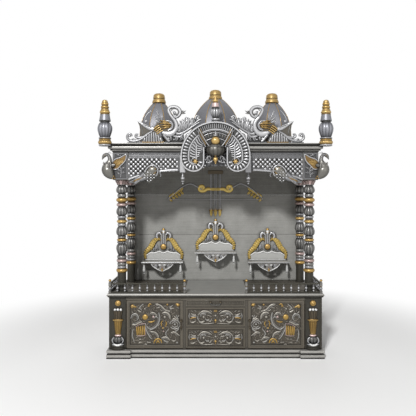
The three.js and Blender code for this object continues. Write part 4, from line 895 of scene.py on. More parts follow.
def door_scrolls(work, ground):
    """Silver scrolls over the whole field, and two rings"""
    dim = [(8, (-480, 381), (-470, 341), (-478, 300), (-500, 262), (-546, 238), (-580, 262)),
           (7, (-589, 288), (-586, 238), (-566, 195), (-540, 155)),
           (6, (-694, 245), (-702, 190), (-686, 132)),
           (7, (-715, 330), (-700, 362), (-668, 366), (-650, 338), (-664, 312)),
           (6, (-392, 245), (-420, 205), (-404, 168)), (6, (-440, 152), (-420, 134), (-400, 130)),
           (6, (-330, 360), (-320, 330), (-312, 296)), (6, (-610, 452), (-640, 420), (-622, 400)),
           (6, (-520, 330), (-500, 345), (-486, 330)), (6, (-360, 440), (-384, 420), (-372, 402)),
           (7, (-346, 214), (-316, 236), (-308, 262))]
    strokes(work, ground, dim, "old_silver", 0.9)
    bright = [(8, (-505, 450), (-482, 448), (-456, 434), (-436, 412), (-413, 396), (-380, 391)),
              (7.5, (-552, 371), (-533, 379), (-512, 373), (-493, 354)),
              (10.5, (-450, 374), (-427, 381), (-403, 374), (-387, 354), (-383, 328)),
              (8, (-705, 386), (-694, 380)), (8, (-657, 402), (-642, 390), (-624, 383)),
              (7, (-383, 414), (-350, 417)), (6.5, (-350, 352), (-336, 334), (-310, 324)),
              (7, (-366, 318), (-350, 328), (-324, 315)),
              (8, (-702, 279), (-679, 276), (-642, 294), (-619, 302)),
              (8, (-550, 222), (-519, 216), (-496, 202), (-483, 178), (-486, 161)),
              (7.5, (-456, 165), (-433, 172), (-406, 168), (-386, 145)),
              (7.5, (-377, 210), (-353, 215), (-330, 205), (-304, 185)), (6, (-486, 268), (-466, 288)),
              (6, (-370, 151), (-353, 138), (-330, 151)), (7, (-580, 130), (-546, 129)),
              (6, (-600, 112), (-576, 112)), (7, (-646, 155), (-628, 156)), (6, (-648, 126), (-630, 127)),
              (5, (-324, 426), (-308, 414)), (6, (-496, 418), (-470, 424)), (7, (-466, 404), (-446, 392)),
              (5, (-480, 300), (-476, 330))]
    strokes(work, ground, bright, "relief", 1.0)
    for radius, half in ((43, 5.5), (26, 4.5)):
        ring = [(-342 + radius * math.cos(a), 278 + radius * 0.86 * math.sin(a), half, 5)
                for a in np.linspace(-2.6, 3.0, 18)]
        sweep(work, ground, ring, "old_silver", VINE, 34)


def door_knobs(work, ground):
    """Low round knobs between the scrolls"""
    knobs = [(-428, 341, 12, "relief"), (-342, 280, 10, "old_silver"), (-596, 410, 8, "relief"),
             (-420, 136, 7, "old_silver"), (-324, 126, 9, "old_silver"), (-312, 350, 7, "relief"),
             (-304, 296, 6, "relief"), (-523, 342, 12, "copper"), (-593, 340, 25, "amber"),
             (-701, 431, 17, "old_gold"), (-562, 434, 10, "old_gold"), (-406, 446, 10, "old_gold"),
             (-318, 444, 14, "gold"), (-438, 220, 8, "copper"), (-443, 248, 8, "bright_gold")]
    for u, v, radius, finish in knobs:
        ball(work, ground.place((u, v, 0)), radius, finish, (1, min(1, 10 / radius), 1), 9, 18)


def door_gold(work, ground):
    """Amber strokes, a fan of five petals and a copper line round it"""
    gold = [(7, (-566, 301), (-539, 300), (-513, 311)), (7, (-701, 446), (-684, 430), (-668, 424)),
            (6, (-446, 312), (-458, 290), (-452, 262)), (6, (-420, 306), (-414, 284), (-424, 258)),
            (6, (-572, 430), (-556, 452), (-540, 446)), (6, (-336, 450), (-318, 452), (-302, 440)),
            (8, (-520, 122), (-510, 146), (-486, 158), (-462, 148), (-452, 124)),
            (8, (-498, 124), (-486, 140), (-472, 124))]
    strokes(work, ground, gold, "amber", 1.0)
    for k in range(5):
        u = -664 + 15.5 * k
        sweep(work, ground, [(u, 262 + 2 * k, 5, 4), (u + 2, 224, 8.4, 7), (u + 5, 188, 5, 4)], "amber",
              VINE, 10, shade=1.1)
    border = [(-675, 256), (-640, 280), (-600, 284), (-590, 282), (-592, 230), (-594, 188), (-660, 182)]
    sweep(work, ground, [(u, v, 3.6, 6) for u, v in border], "copper", VINE, 24)


def door_leaf():
    """A framed door with scrolls, leaves and knobs on a ground of low leaves"""
    box = box_of("door_left")
    work = Carving()
    margin = 30
    plane = front(FACE)
    ground = plane.moved(w=-FIELD)
    steps = [(1.5, FACE - BACK, 0.2), (0, FACE - BACK + 1.5, 0.3), (0, -1.6, 0.6), (1.6, 0, 1.1),
             (19, 0, 0.8), (20.5, -1.6, 0.1), (22, -1.2, 0.9), (24.5, -1.0, 1.1), (margin - 2, -3, 0.3),
             (margin, -FIELD, 0.1), (margin + 8, -FIELD, 0.55)]
    foot, head = 77, 482.5
    terrace(work, plane, box.x0, box.x1, foot, head, steps, "frame")
    x0, x1, z0, z1 = box.x0 + margin, box.x1 - margin, foot + margin, head - margin
    foliage(work, ground, x0, x1, z0, z1, "ground_leaf", 24, 3)
    for part in (door_scrolls, door_knobs, door_gold):
        part(work, ground)
    pull = box_of("door_pull_left")
    ears(work, pull.x, FACE - 12, pull.z1 - 5, FACE + 3, 15)
    pair("door", work, "pewter", "door", ("door_left", "door_right"))


def door_pull():
    """A drop that swings from the ears of a door"""
    box = box_of("door_pull_left")
    work = Carving()
    z = box.z1 - 5
    eyelet(work, box.x, box.y, z, ((-3.4, 2.4), (-3.4, 4.4), (-2.6, 5), (2.6, 5), (3.4, 4.4),
                                   (3.4, 2.4)), 20)
    members = [("bronze", "ring", 0.0, 0.1, 0.3, 0.5), ("bronze", "urn", 0.1, 0.46, 0.36, 1.0, 10, 0.1),
               ("bronze", "ring", 0.46, 0.54, 0.36, 0.62), ("bronze", "line", 0.54, 0.9, 0.42, 0.3),
               ("bronze", "ring", 0.9, 1.0, 0.3, 0.5)]
    turned(work, box.x, box.y, box.z0, z - 3.2 - box.z0, 8, members, 20)
    pair("door_pull", work, "bronze", "door_pull", ("pull_left", "pull_right"))


def drawer_box(work, node, foot):
    """The open box behind a drawer's front"""
    box = box_of(node)
    wall, half, end, drop = 12, box.x1 - 5.1, box.y1, 16
    top = box.z1 - drop
    for side in (-1, 1):
        x0, x1 = sorted((side * half, side * (half - wall)))
        block(work, x0, x1, BACK - 1, end, foot, top, "plywood", 0.8)
    block(work, wall - half, half - wall, end - wall, end, foot, top, "plywood", 0.8)
    block(work, wall - half, half - wall, BACK - 1, end - wall, foot, foot + wall, "plywood", 0.8)


def drawer(name):
    """A drawer with a framed front of mirrored scrolls"""
    box = box_of(name)
    work = Carving()
    margin = 18
    plane = front(FACE)
    ground = plane.moved(w=-FIELD)
    drawer_box(work, name, box.z0 + (4 if name == "drawer_lower" else 0))
    steps = [(1.5, FACE - BACK, 0.2), (0, FACE - BACK + 1.5, 0.3), (0, -1.5, 0.7), (1.5, 0, 1.1),
             (9, 0, 0.8), (10, -1.4, 0.1), (11.5, -1.0, 1.1), (14, -1.0, 1.1), (margin, -FIELD, 0.1),
             (margin + 6, -FIELD, 0.55)]
    terrace(work, plane, box.x0, box.x1, box.z0, box.z1, steps, "frame")
    middle = (box.z0 + box.z1) / 2
    foliage(work, ground, box.x0 + margin, box.x1 - margin, box.z0 + margin, box.z1 - margin,
            "ground_leaf", 21, 5)
    bright = [(8, (148, 18), (118, 44), (90, 50), (58, 44), (32, 26)),
              (10, (140, -32), (118, -46), (92, -32)), (8, (206, 30), (184, 16), (164, 17)),
              (7, (70, 17), (42, 8)), (6, (50, 58), (28, 44)), (7, (212, -42), (190, -46), (168, -35)),
              (5, (176, 56), (162, 44)), (5, (32, -20), (46, -38), (62, -28)), (5, (205, 52), (190, 46)),
              (4, (120, -58), (60, -56), (14, -52))]
    dim = [(6, (146, 14), (150, -10), (138, -34)), (5, (130, 0), (120, 26), (94, 30), (76, 12)),
           (6, (88, -14), (70, -28), (54, -20)), (6, (160, 0), (186, 4), (212, 8)),
           (5, (216, 34), (224, 10), (220, -14))]
    for side in (-1, 1):
        for rows, finish, high in ((bright, "relief", 1.0), (dim, "old_silver", 0.9)):
            placed = [(half, *((side * u, middle + v) for u, v in points)) for half, *points in rows]
            strokes(work, ground, placed, finish, high)
        strokes(work, ground, [(8, (side * 212, middle - 14), (side * 188, middle - 6),
                                (side * 164, middle - 6))], "old_gold")
        bead(work, ground, side * 100, middle - 1, 11, "relief", -3)
        bead(work, ground, side * 70, middle - 29, 9, "relief", -3)
        bead(work, ground, side * 40, middle - 30, 6, "old_silver", -1)
    block(work, -14, 14, FACE + FIELD - 5, FACE + FIELD + 1, middle + 42, middle + 60, "old_gold", 2, 0.7)
    bead(work, ground, 0, middle + 11, 10, "relief", -2)
    bead(work, ground, 0, middle - 29, 11, "gold", -2)
    bead(work, ground, 0, middle - 45, 6, "old_gold", -1)
    body = {"drawer_upper": "upper_drawer", "drawer_lower": "lower_drawer"}[name]
    piece(f"{name}_carved", work, body, "pewter", name)


def tray():
    """The thin tray under the deck, and its bail"""
    box = box_of("drawer_tray")
    work = Carving()
    plane = front(FACE)
    drawer_box(work, "drawer_tray", box.z0)
    foot = box.z0 + 1.2
    steps = [(1.5, FACE - BACK, 0.2), (0, FACE - BACK + 1.5, 0.3), (0, -1.4, 0.7), (1.4, 0, 1.0),
             (5, 0, 0.8), (6.5, -2.5, 0.0), (9.5, -2.5, 0.0), (10.5, -0.8, 0.9), (12, -0.8, 0.7),
             (13, -2.0, 0.3), (14, -2.0, 0.3)]
    terrace(work, plane, box.x0, box.x1, foot, box.z1, steps, "tray")
    for k in range(34):
        u = box.x0 + 22 + (box.x1 - box.x0 - 44) * k / 33
        for row in (-1, 1):
            bead(work, plane, u, (foot + box.z1) / 2 + row * 5, 2.4, "tray", -2)
    bail = box_of("tray_bail")
    y, z, spread = bail.y0 + 5, bail.z1 - 5, 41
    for x in (-spread, spread):
        ears(work, x, y, z, FACE + 2, 11)
    piece("drawer_tray_carved", work, "tray", "pewter", "drawer_tray")

    work = Carving()
    for x in (-spread, spread):
        eyelet(work, x, y, z, ((-3.3, 2.4), (-3.3, 4.8), (3.3, 4.8), (3.3, 2.4)), 16)
    shares = [(-1, 0.12), (-0.9, 0.55), (-0.6, 0.85), (-0.25, 0.72), (0, 1), (0.25, 0.72), (0.6, 0.85),
              (0.9, 0.55), (1, 0.12)]
    tube(work, [(spread * u, y, z - 2 - 25 * v, 3.0) for u, v in shares], "dark_silver", 40, 10)
    piece("tray_bail_round", work, "bail", "bronze", "tray_bail")


def railing():
    """An L of balusters between two rails, with a post at either end and at the corner"""
    box = box_of("railing_left")
    work = Carving()
    half, height, thick = 13, 86, 12
    x_side, y_front = box.x0 + half, box.y0 + 11
    x_inner, y_end = box.x1 - half, box.y1 - 11
    top = box.z0 + height
    for z0 in (box.z0, top - thick):
        block(work, x_side, x_inner, y_front - 7, y_front + 7, z0, z0 + thick, "pewter_tall", 2, 1.0)
        block(work, x_side - 7, x_side + 7, y_front, y_end, z0, z0 + thick, "pewter_tall", 2, 1.0)
    bar = [("dark_silver", "line", 0.0, 0.08, 0.7, 0.6), ("silver", "ring", 0.08, 0.26, 0.4, 0.8),
           ("soft_silver", "line", 0.26, 0.36, 0.42, 0.56), ("silver", "ring", 0.36, 0.66, 0.55, 1.0),
           ("soft_silver", "line", 0.66, 0.88, 0.56, 0.42), ("dark_silver", "ring", 0.88, 1.0, 0.5, 0.8)]
    spots = [(x_side + (x_inner - x_side) * i / 10, y_front) for i in range(1, 10)]
    spots += [(x_side, y_front + (y_end - y_front) * i / 10) for i in range(1, 10)]
    for x, y in spots:
        turned(work, x, y, box.z0 + thick - 1, height - 2 * thick + 2, 10, bar, 16)
    post = [("old_silver", "line", 0.0, 0.14, 1, 1), ("old_silver", "ring", 0.14, 0.2, 0.6, 0.9),
            ("soft_silver", "urn", 0.2, 0.45, 0.5, 1), ("old_gold", "ring", 0.45, 0.5, 0.5, 0.8),
            ("old_silver", "line", 0.5, 0.74, 0.95, 0.95), ("old_silver", "ring", 0.74, 0.8, 0.5, 0.8),
            ("gold", "ring", 0.8, 1.0, 0.15, 0.95)]
    for x, y in ((x_side, y_front), (x_inner, y_front), (x_side, y_end)):
        turned(work, x, y, box.z0, box.tall, half, post, 24)
    pair("railing", work, "silver", "railing")


# Columns and walls

COLUMN = [("pewter_tall", "line", 0.0, 0.012, 0.84, 0.84),
          ("pewter_tall", "line", 0.012, 0.172, 0.76, 0.75), ("gold", "ring", 0.172, 0.208, 0.76, 0.98),
          ("soft_silver", "ring", 0.208, 0.232, 0.70, 0.8), ("column", "ring", 0.232, 0.262, 0.70, 0.8),
          ("copper", "ring", 0.262, 0.294, 0.72, 0.92), ("column", "ring", 0.294, 0.326, 0.70, 0.84),
          ("column", "urn", 0.326, 0.432, 0.62, 1.0, 10, 0.12),
          ("column", "line", 0.432, 0.449, 0.66, 0.66), ("gold", "ring", 0.449, 0.478, 0.62, 0.86),
          ("column", "ring", 0.478, 0.5, 0.6, 0.76), ("column", "vase", 0.5, 0.585, 0.64, 1.0, 10, 0.12),
          ("soft_silver", "ring", 0.585, 0.615, 0.62, 0.76),
          ("bright_gold", "ring", 0.615, 0.645, 0.66, 0.9), ("column", "line", 0.645, 0.655, 0.66, 0.66),
          ("soft_silver", "ring", 0.655, 0.682, 0.6, 0.8),
          ("column", "vase", 0.682, 0.762, 0.62, 0.98, 10, 0.12),
          ("copper", "ring", 0.762, 0.796, 0.66, 0.94), ("gold", "ring", 0.802, 0.842, 0.68, 1.0),
          ("column", "ring", 0.842, 0.88, 0.62, 0.8),
          ("column", "vase", 0.88, 0.952, 0.62, 1.02, 10, 0.12),
          ("column", "ring", 0.952, 0.966, 0.7, 0.84),
          ("copper", "line", 0.966, 1.0, 0.82, 1.14, 20, 0.1)]


def column(place):
    """A fluted column with a collar of beads and a flare of petals under its top"""
    box = box_of(f"column_{place}_left")
    work = Carving()
    radius, collar, flare = 49, box.z0 + 0.441 * box.tall, box.z0 + 0.956 * box.tall
    turned(work, box.x, box.y, box.z0, box.tall, radius, COLUMN, 80)
    bead_ring(work, box.x, box.y, collar, 0.7 * radius, 12, 8, "soft_silver")
    for k in range(10):
        angle = TAU * (k + 0.5) / 10
        out = (math.cos(angle), math.sin(angle), 0)
        ground = Plane(box.x + out[0] * 37, box.y + out[1] * 37, flare, (-out[1], out[0], 0), out=out)
        sweep(work, ground, [(0, 0, 8, 3, 0), (0, 16, 12, 5, 5), (0, 30, 11, 5, 13), (0, 38, 5, 4, 18)],
              "rose" if k % 2 else "copper", LEAF, 8, 2)
    pair(f"column_{place}", work, "silver", f"column_{place}")


def back_wall():
    """Three boards, one above the other; the top one is darkened with painted shadow"""
    box = box_of("back_wall")
    work = Carving()
    seams = [box.z0, 984, 1366, box.z1]
    # The top board's low level is painted shadow under the roof
    for low, high, level in zip(seams, seams[1:], (0.7, 0.62, 0.28)):
        block(work, box.x0, box.x1, box.y0, box.y1, low + (0.6 if low > box.z0 else 0), high, "wall", 1.6,
              level)
    piece("back_wall_boards", work, "cabinet", "wall_grey", "back_wall")


def lattice_spots(x0, x1, top, foot, pitch, hole, limit=lambda x: -math.inf):
    """Middles of the holes of a slanting lattice; limit is the lowest place for a hole at x"""
    spots = []
    row = 0
    while top - row * pitch / 2 - hole > foot:
        z = top - row * pitch / 2 - hole
        x = x0 + hole + (row % 2) * pitch / 2
        while x + hole <= x1:
            if z - hole > limit(x):
                spots.append((x, z))
            x += pitch
        row += 1
    return spots


def lattice_plate(work, plane, outline, spots, pitch, hole, thick, limit=lambda x: -math.inf):
    """A plate with square holes on edge and a small raised tile at each crossing"""
    holes = [[(x - hole, z), (x, z - hole), (x + hole, z), (x, z + hole)] for x, z in spots]
    cutout(work, plane, outline, holes, -thick, 0, 1.2, "frieze", 0.55)
    tiles = {(round(x + side * pitch / 2, 1), round(z, 1)) for x, z in spots for side in (-1, 1)}
    tiles |= {(round(x, 1), round(z + side * pitch / 2, 1)) for x, z in spots for side in (-1, 1)}
    rim = pitch / 2 - hole + 3
    steps = [(rim, -1, 0.6), (rim, 2.5, 1.0), (rim - 2, 3.6, 1.2), (1, 4.6, 1.3)]
    highest = max(z for x, z in spots) + 1
    for x, z in sorted(tiles):
        if z < highest and z - 6 > limit(x):
            boss(work, plane, x, z, steps, "silver", 4)


def frieze_front():
    """The front lattice, whose lower edge is an arch between the columns, and two turned pendants"""
    box = box_of("frieze_front")
    top, face = box.z1, -292
    thick, end, inner, pendant = 22, box.x0, -320, -278
    plane = front(face)

    def arch(x):
        share = max(0.0, (inner - x) / (inner - end))
        return top - 159 - 79 * share * share

    curve = [(inner + (end - inner) * s, arch(inner + (end - inner) * s)) for s in np.linspace(0, 1, 12)]
    outline = [(0, top), (end, top), *curve[::-1], (pendant - 25, arch(inner)), (pendant - 25, top - 173),
               (pendant + 25, top - 173), (pendant + 25, top - 120), (0, top - 120)]
    pitch, hole = 39, 11.5
    spots = lattice_spots(end + 12, inner - 4, top - 52, top - 238, pitch, hole, lambda x: arch(x) + 20)
    left = Carving()
    lattice_plate(left, plane, outline, spots, pitch, hole, thick, lambda x: arch(x) + 16)
    sweep(left, plane, [(x, z + 7.5, 7, 4.6) for x, z in curve], "soft_silver", BAR, 30, shade=1.2)
    sweep(left, plane, [(x, z + 3, 2.6, 5.5) for x, z in curve], "silver", VINE, 30)
    for level, half, high in ((8, 5, 4), (34, 5.5, 4)):
        sweep(left, plane, [(end + 4, top - level, half, high), (-8, top - level, half, high)], "frieze",
              BAR, 2, shade=1.2)
    for level in (17, 44):
        sweep(left, plane, [(end + 4, top - level, 1.8, 3), (-8, top - level, 1.8, 3)], "silver", VINE, 2)
    sweep(left, plane, [(end + 6, top - 45, 6, 3.5), (end + 6, top - 232, 6, 3.5)], "frieze", BAR, 2,
          shade=1.2)
    terrace(left, plane, pendant - 24, pendant + 24, top - 171, top - 30,
            [(0, -2, 0.5), (0, 2.2, 0.8), (1.8, 4.2, 1.2), (8, 4.6, 1.1)], "silver")
    members = [("silver", "ring", 0.0, 0.13, 0.1, 0.46), ("silver", "line", 0.13, 0.2, 0.24, 0.24),
               ("silver", "ring", 0.2, 0.34, 0.3, 0.8), ("dark_silver", "line", 0.34, 0.4, 0.3, 0.5),
               ("silver", "ring", 0.4, 0.66, 0.5, 1.0), ("silver", "line", 0.66, 0.9, 0.8, 0.36),
               ("soft_silver", "line", 0.9, 1.0, 0.4, 0.6)]
    turned(left, pendant, face + 11, top - 272, 99.3, 17, members, 28)
    left.join(left.mirrored())
    piece("frieze_front_carved", left, "cabinet", "pewter", "frieze_front")


def carved_block(work, plane, half, foot, top):
    """Front of a corner block: a framed panel with a leaf stem"""
    steps = [(0, -2, 0.2), (0, 1.2, 0.8), (1.5, 3, 1.1), (11, 3, 0.8), (13, 0.6, 0.2), (17, 0.6, 0.3)]
    terrace(work, plane, -half + 4, half - 4, foot + 5, top - 5, steps, "frieze")
    stem = [(0, foot + 22, 4), (6, foot + 80, 5), (-6, foot + 140, 5), (0, top - 22, 4)]
    sweep(work, plane, stem, "soft_silver", VINE, 12)
    sprouts(work, plane, stem, "soft_silver", 15, 44, 11, 50, 3, 0.04)


def frieze_side():
    """A side lattice between two carved corner blocks"""
    box = box_of("frieze_side_left")
    work = Carving()
    size = 130
    fronts = [box.y0, 240 - size / 2]
    for y in fronts:
        y1 = min(y + size, box.y1)
        block(work, box.x0, box.x1, y, y1, box.z0, box.z1, "pewter", 2.5, 0.35)
        middle = (y + y1) / 2
        side = Plane(box.x0, middle, 0, (0, -1, 0), out=(-1, 0, 0))
        carved_block(work, side, (y1 - y) / 2, box.z0, box.z1)
    carved_block(work, front(box.y0, box.x), size / 2, box.z0, box.z1)
    y0, y1 = fronts[0] + size - 0.3, fronts[1] + 0.3
    x, thick, top = -814, 22, box.z1
    plane = Plane(x, 0, 0, (0, -1, 0), out=(-1, 0, 0))
    foot = top - 92
    outline = [(-y1, top), (-y1, foot - 24), (-y1 + 24, foot), (-y0 - 24, foot), (-y0, foot - 24),
               (-y0, top)]
    pitch, hole, margin = 39, 12.5, 12
    spots = lattice_spots(-y1 + margin, -y0 - margin, top - 24, foot + margin, pitch, hole)
    lattice_plate(work, plane, outline, spots, pitch, hole, thick)
    sweep(work, plane, [(-y1 + 24, foot + 5, 5, 4), (-y0 - 24, foot + 5, 5, 4)], "silver", VINE, 12)
    sweep(work, plane, [(-y1, top - 9, 5, 4), (-y0, top - 9, 5, 4)], "soft_silver", VINE, 2)
    pair("frieze_side", work, "pewter", "frieze_side")


def cornice():
    """The moulded frame round the roof"""
    box = box_of("cornice")
    work = Carving()
    # Each row's third number is painted light: bright bands, and painted shade in the coves
    profile = [(-42, 0, 0.1), (-42, 9, 0.2), (-32, 11, 0.6), (-28, 13, 0.7), (-28, 18, 0.6),
               (-29, 20, 0.0), (-26, 24, 0.0), *rounded(-14, 26, -12, 44, 2, painted_light=(0.8, 1.3, 1.0)),
               (-17, 46, 0.0), (-13, 58, 0.05), (-6, 65, 0.15), (-1, 68, 0.9), (0, 70, 1.0),
               (-1, 73, 1.0), (-112, 73, 0.4), (-112, 0, 0.3)]
    moulding(work, rectangle(box.x0, box.x1, box.y0, box.y1), profile, box.z0, "cornice", closed=True)
    # The back is flat, and the profile's last two rows are the inside of the frame
    verts = work.parts[0][0].reshape(len(profile), 4, 3)
    verts[:-2, 2:, 1] = box.y1
    verts[-2:, 2:, 1] = box.y1 - 70
    piece("cornice_moulded", work, "cabinet", "pewter", "cornice")


# Domes and finials

SIDE_DOME = 510  # from the middle of the roof to that of a side dome
# A dome's section from its foot up, as shares of its radius and height
DOME = [(0.96, 0), (1, 0.16), (0.985, 0.34), (0.92, 0.52), (0.8, 0.68), (0.64, 0.81), (0.46, 0.92),
        (0.3, 1)]


def dome(side):
    """A dome of eight gores with a gilt rib between each two"""
    box = box_of(f"dome_{side}")
    radius, height = (232, 420) if side == "center" else (178, 389)
    x = 0 if side == "center" else -SIDE_DOME
    work = Carving()
    profile = spline(DOME, 28)
    sides = 64
    angles = np.arange(sides) * TAU / sides
    offset = (angles + math.pi / 8) % (math.pi / 4) - math.pi / 8
    gore = math.cos(math.pi / 8) / np.cos(offset) * (1 + 0.012 * np.cos(offset * 4))
    rings = []
    for r, h in profile:
        reach = radius * r * gore
        rings.append(np.stack([x + np.cos(angles) * reach, np.sin(angles) * reach,
                               np.full(sides, box.z0 + h * height)], -1))
    skin(work, rings, "dome", 0.75)
    for k in range(8):
        angle = math.pi / 8 + k * math.pi / 4
        edge = [(x + math.cos(angle) * (radius * r - 1), math.sin(angle) * (radius * r - 1),
                 box.z0 + h * height, 3.0)
                for r, h in DOME]
        tube(work, edge, "gold", 24, 6)
    return work


def cap(side):
    """The stepped gilt cap on a dome"""
    box = box_of(f"dome_cap_{side}")
    x = 0 if side == "center" else -SIDE_DOME
    work = Carving()
    members = [("gold", "line", 0.0, 0.06, 0.94, 0.99), ("bright_gold", "line", 0.06, 0.2, 0.99, 0.96),
               ("bright_gold", "line", 0.2, 0.4, 0.96, 0.84), ("old_gold", "line", 0.4, 0.47, 0.78, 0.8),
               ("bright_gold", "line", 0.47, 0.78, 0.85, 0.81),
               ("bright_gold", "line", 0.78, 0.9, 0.81, 0.68), ("gold", "line", 0.9, 0.97, 0.68, 0.5),
               ("gold", "line", 0.97, 1.0, 0.5, 0.2)]
    turned(work, x, 0, box.z0, box.tall, 63, members, 48)
    return work


def trio(form, name, kind, slot):
    """The left, right and middle pieces of one form; the right one mirrors the left"""
    left = form("left")
    for side, shape in (("left", left), ("right", left.mirrored()), ("center", form("center"))):
        piece(f"{name}_{side}_{kind}", shape, "cabinet", slot, f"{name}_{side}")


def corner_finial():
    """A turned pot on the corner of the roof"""
    box = box_of("corner_finial_left")
    work = Carving()
    members = [("silver", "ring", 0.0, 0.04, 0.76, 0.86),
               ("bright_gold", "ring", 0.04, 0.12, 0.8, 0.92, 28, 0.1),
               ("gold", "ring", 0.12, 0.155, 0.7, 0.82), ("soft_silver", "ring", 0.155, 0.19, 0.74, 0.86),
               ("finial", "urn", 0.19, 0.505, 0.7, 1.02, 12, 0.1),
               ("dark_silver", "line", 0.505, 0.53, 0.62, 0.62),
               ("dark_silver", "ring", 0.53, 0.555, 0.66, 0.8),
               ("finial", "line", 0.555, 0.68, 0.78, 0.64), ("old_gold", "ring", 0.68, 0.7, 0.6, 0.66),
               ("bright_gold", "ring", 0.7, 0.77, 0.58, 0.7),
               ("bright_gold", "line", 0.77, 0.8, 0.6, 0.54),
               ("old_gold", "line", 0.8, 0.815, 0.48, 0.48), ("gold", "ring", 0.815, 0.87, 0.48, 0.56),
               ("old_gold", "line", 0.87, 0.885, 0.44, 0.44), ("gold", "ring", 0.885, 0.94, 0.44, 0.5),
               ("bright_gold", "line", 0.94, 0.98, 0.42, 0.38),
               ("bright_gold", "line", 0.98, 1.0, 0.38, 0.24)]
    turned(work, box.x, box.y, box.z0, box.tall, 61, members, 84)
    pair("corner_finial", work, "silver", "corner_finial")


def pot_finial():
    """The turned pot above the medallion"""
    box = box_of("pot_finial")
    work = Carving()
    members = [("soft_silver", "ring", 0.0, 0.04, 0.7, 0.84), ("silver", "ring", 0.04, 0.14, 0.66, 0.84),
               ("dark_silver", "ring", 0.14, 0.18, 0.5, 0.66),
               ("silver", "urn", 0.18, 0.55, 0.66, 1.0, 10, 0.12),
               ("dark_silver", "ring", 0.55, 0.6, 0.7, 0.84), ("rose", "line", 0.6, 0.76, 0.72, 0.66),
               ("old_gold", "ring", 0.76, 0.81, 0.5, 0.62),
               ("bright_gold", "ring", 0.81, 0.91, 0.54, 0.6), ("gold", "line", 0.91, 1.0, 0.4, 0.34)]
    turned(work, 0, box.y, box.z0, box.tall, 42.5, members, 60)
    piece("pot_finial_turned", work, "cabinet", "silver", "pot_finial")


# Crest

def swan_neck(work, plane):
    """Breast, neck and three dark head plumes; dark lines under it and in its curl are painted shade"""
    swan = [(308, 90, 14), (336, 80, 19), (364, 76, 21), (396, 88, 19), (419, 118, 17), (424, 155, 15),
            (411, 190, 13), (385, 222, 12), (366, 252, 11.5), (358, 279, 11), (369, 299, 11),
            (397, 306, 12), (428, 300, 12), (450, 280, 12), (455, 254, 11.5), (440, 228, 10),
            (418, 217, 8), (402, 226, 6), (400, 243, 4)]
    strand(work, plane, [(u, v, r * 1.28) for u, v, r in swan], 17, "silver", 76, ROUND)
    # A dark line of painted shade along the underside of the breast
    edge = [(u + 0.62 * r, v - 0.7 * r, 3, 6, 2) for u, v, r in swan[:6]]
    sweep(work, plane, edge, "dark_silver", ROUND, 20)
    # A dark ring of painted shadow inside the neck's curl
    eye = [(381, 273), (388, 287), (403, 291), (420, 289), (435, 279), (440, 262), (432, 243), (418, 235)]
    sweep(work, plane, [(u, v, 5, 8, 0) for u, v in eye], "dark_silver", ROUND, 24)
    leaf(work, plane.moved(w=2), 420, 234, 110, 44, 13, "silver", 9, bend=0.3)
    for turn, length in ((6, 48), (28, 56), (50, 40)):
        leaf(work, plane.moved(w=2), 457, 248, turn, length, 6, "dark_silver", 6, form=ROUND)


def swan_tail(work, plane):
    """A dark plate under a rising tail with bars, and a ball and a long feather above it"""
    fin = [(97, 183), (112, 150), (118, 110), (116, 60), (150, 50), (190, 88), (222, 112), (170, 140),
           (130, 162)]
    cutout(work, plane, fin, [], -8, 3, 1, "dark_board", 0.5)
    tail = [(232, 118, 19), (206, 122, 19), (176, 138, 18), (146, 156, 15), (120, 172, 10), (97, 183, 3)]
    strand(work, plane, tail, 12, "silver", 24)
    sweep(work, plane, [(128, 160, 4, 6), (130, 130, 6, 6), (138, 100, 6, 6), (136, 70, 4, 6)],
          "dark_silver", ROUND, 12)
    for k in range(3):
        sweep(work, plane, [(214 - 22 * k, 126 + 9 * k, 2, 4, 11),
                            (190 - 22 * k, 140 + 11 * k, 2, 4, 11)],
              "dark_silver", ROUND, 4)
    ball(work, plane.place((167, 183, 4)), 12, "silver", rows=9, columns=16)
    sweep(work, plane, [(156, 190, 4, 6), (164, 219, 4.5, 7), (186, 252, 4, 6), (211, 278, 1.5, 4)],
          "silver", VINE, 18)


def swan_wing(work, plane):
    """A folded gilt wing on a bronze plate, with silver bands before it and tufts above it"""
    plate = [(228, 96), (240, 140), (262, 176), (300, 186), (350, 182), (392, 158), (400, 128), (352, 92),
             (300, 100)]
    cutout(work, plane, plate, [], -6, 6, 1, "bronze", 0.4)
    for k in range(4):
        near, far = (276.8 + 10 * k, 147.6 - 13.5 * k), (231.7 + 10 * k, 117.2 - 13.5 * k)
        middle = ((near[0] + far[0]) / 2, (near[1] + far[1]) / 2 + 2)
        sweep(work, plane.moved(w=8), [(*near, 5.4, 8), (*middle, 5.8, 9), (*far, 5.4, 7)],
              "bright_gold", VINE, 6)
    wing = [(384, 160, 170, 108, "bright_gold"), (384, 148, 178, 100, "gold"),
            (376, 136, 184, 84, "bright_gold"), (366, 170, 160, 84, "gold")]
    for u, v, turn, length, finish in wing:
        leaf(work, plane.moved(w=9), u, v, turn, length, 9, finish, 8, bend=0.12, lobes=3)
    for reach, half in ((0, 5.5), (14, 4.5)):
        rows = [(334, 188 - reach), (372, 182 - reach), (394 - reach / 2, 154),
                (384 - reach / 2, 122 + reach / 3), (354, 106 + reach / 2)]
        sweep(work, plane, [(u, v, half, 9, 4) for u, v in rows], "silver", VINE, 20)
    tufts = [(300, 186, 122, 106, 9, -0.12), (296, 176, 140, 84, 9, -0.1), (292, 168, 164, 58, 10, -0.3),
             (312, 190, 106, 48, 8, -0.2)]
    for u, v, turn, length, half, bend in tufts:
        leaf(work, plane.moved(w=3), u, v, turn, length, half, "silver", 8, bend=bend)
    ball(work, plane.place((250, 182, 4)), 7, "silver")


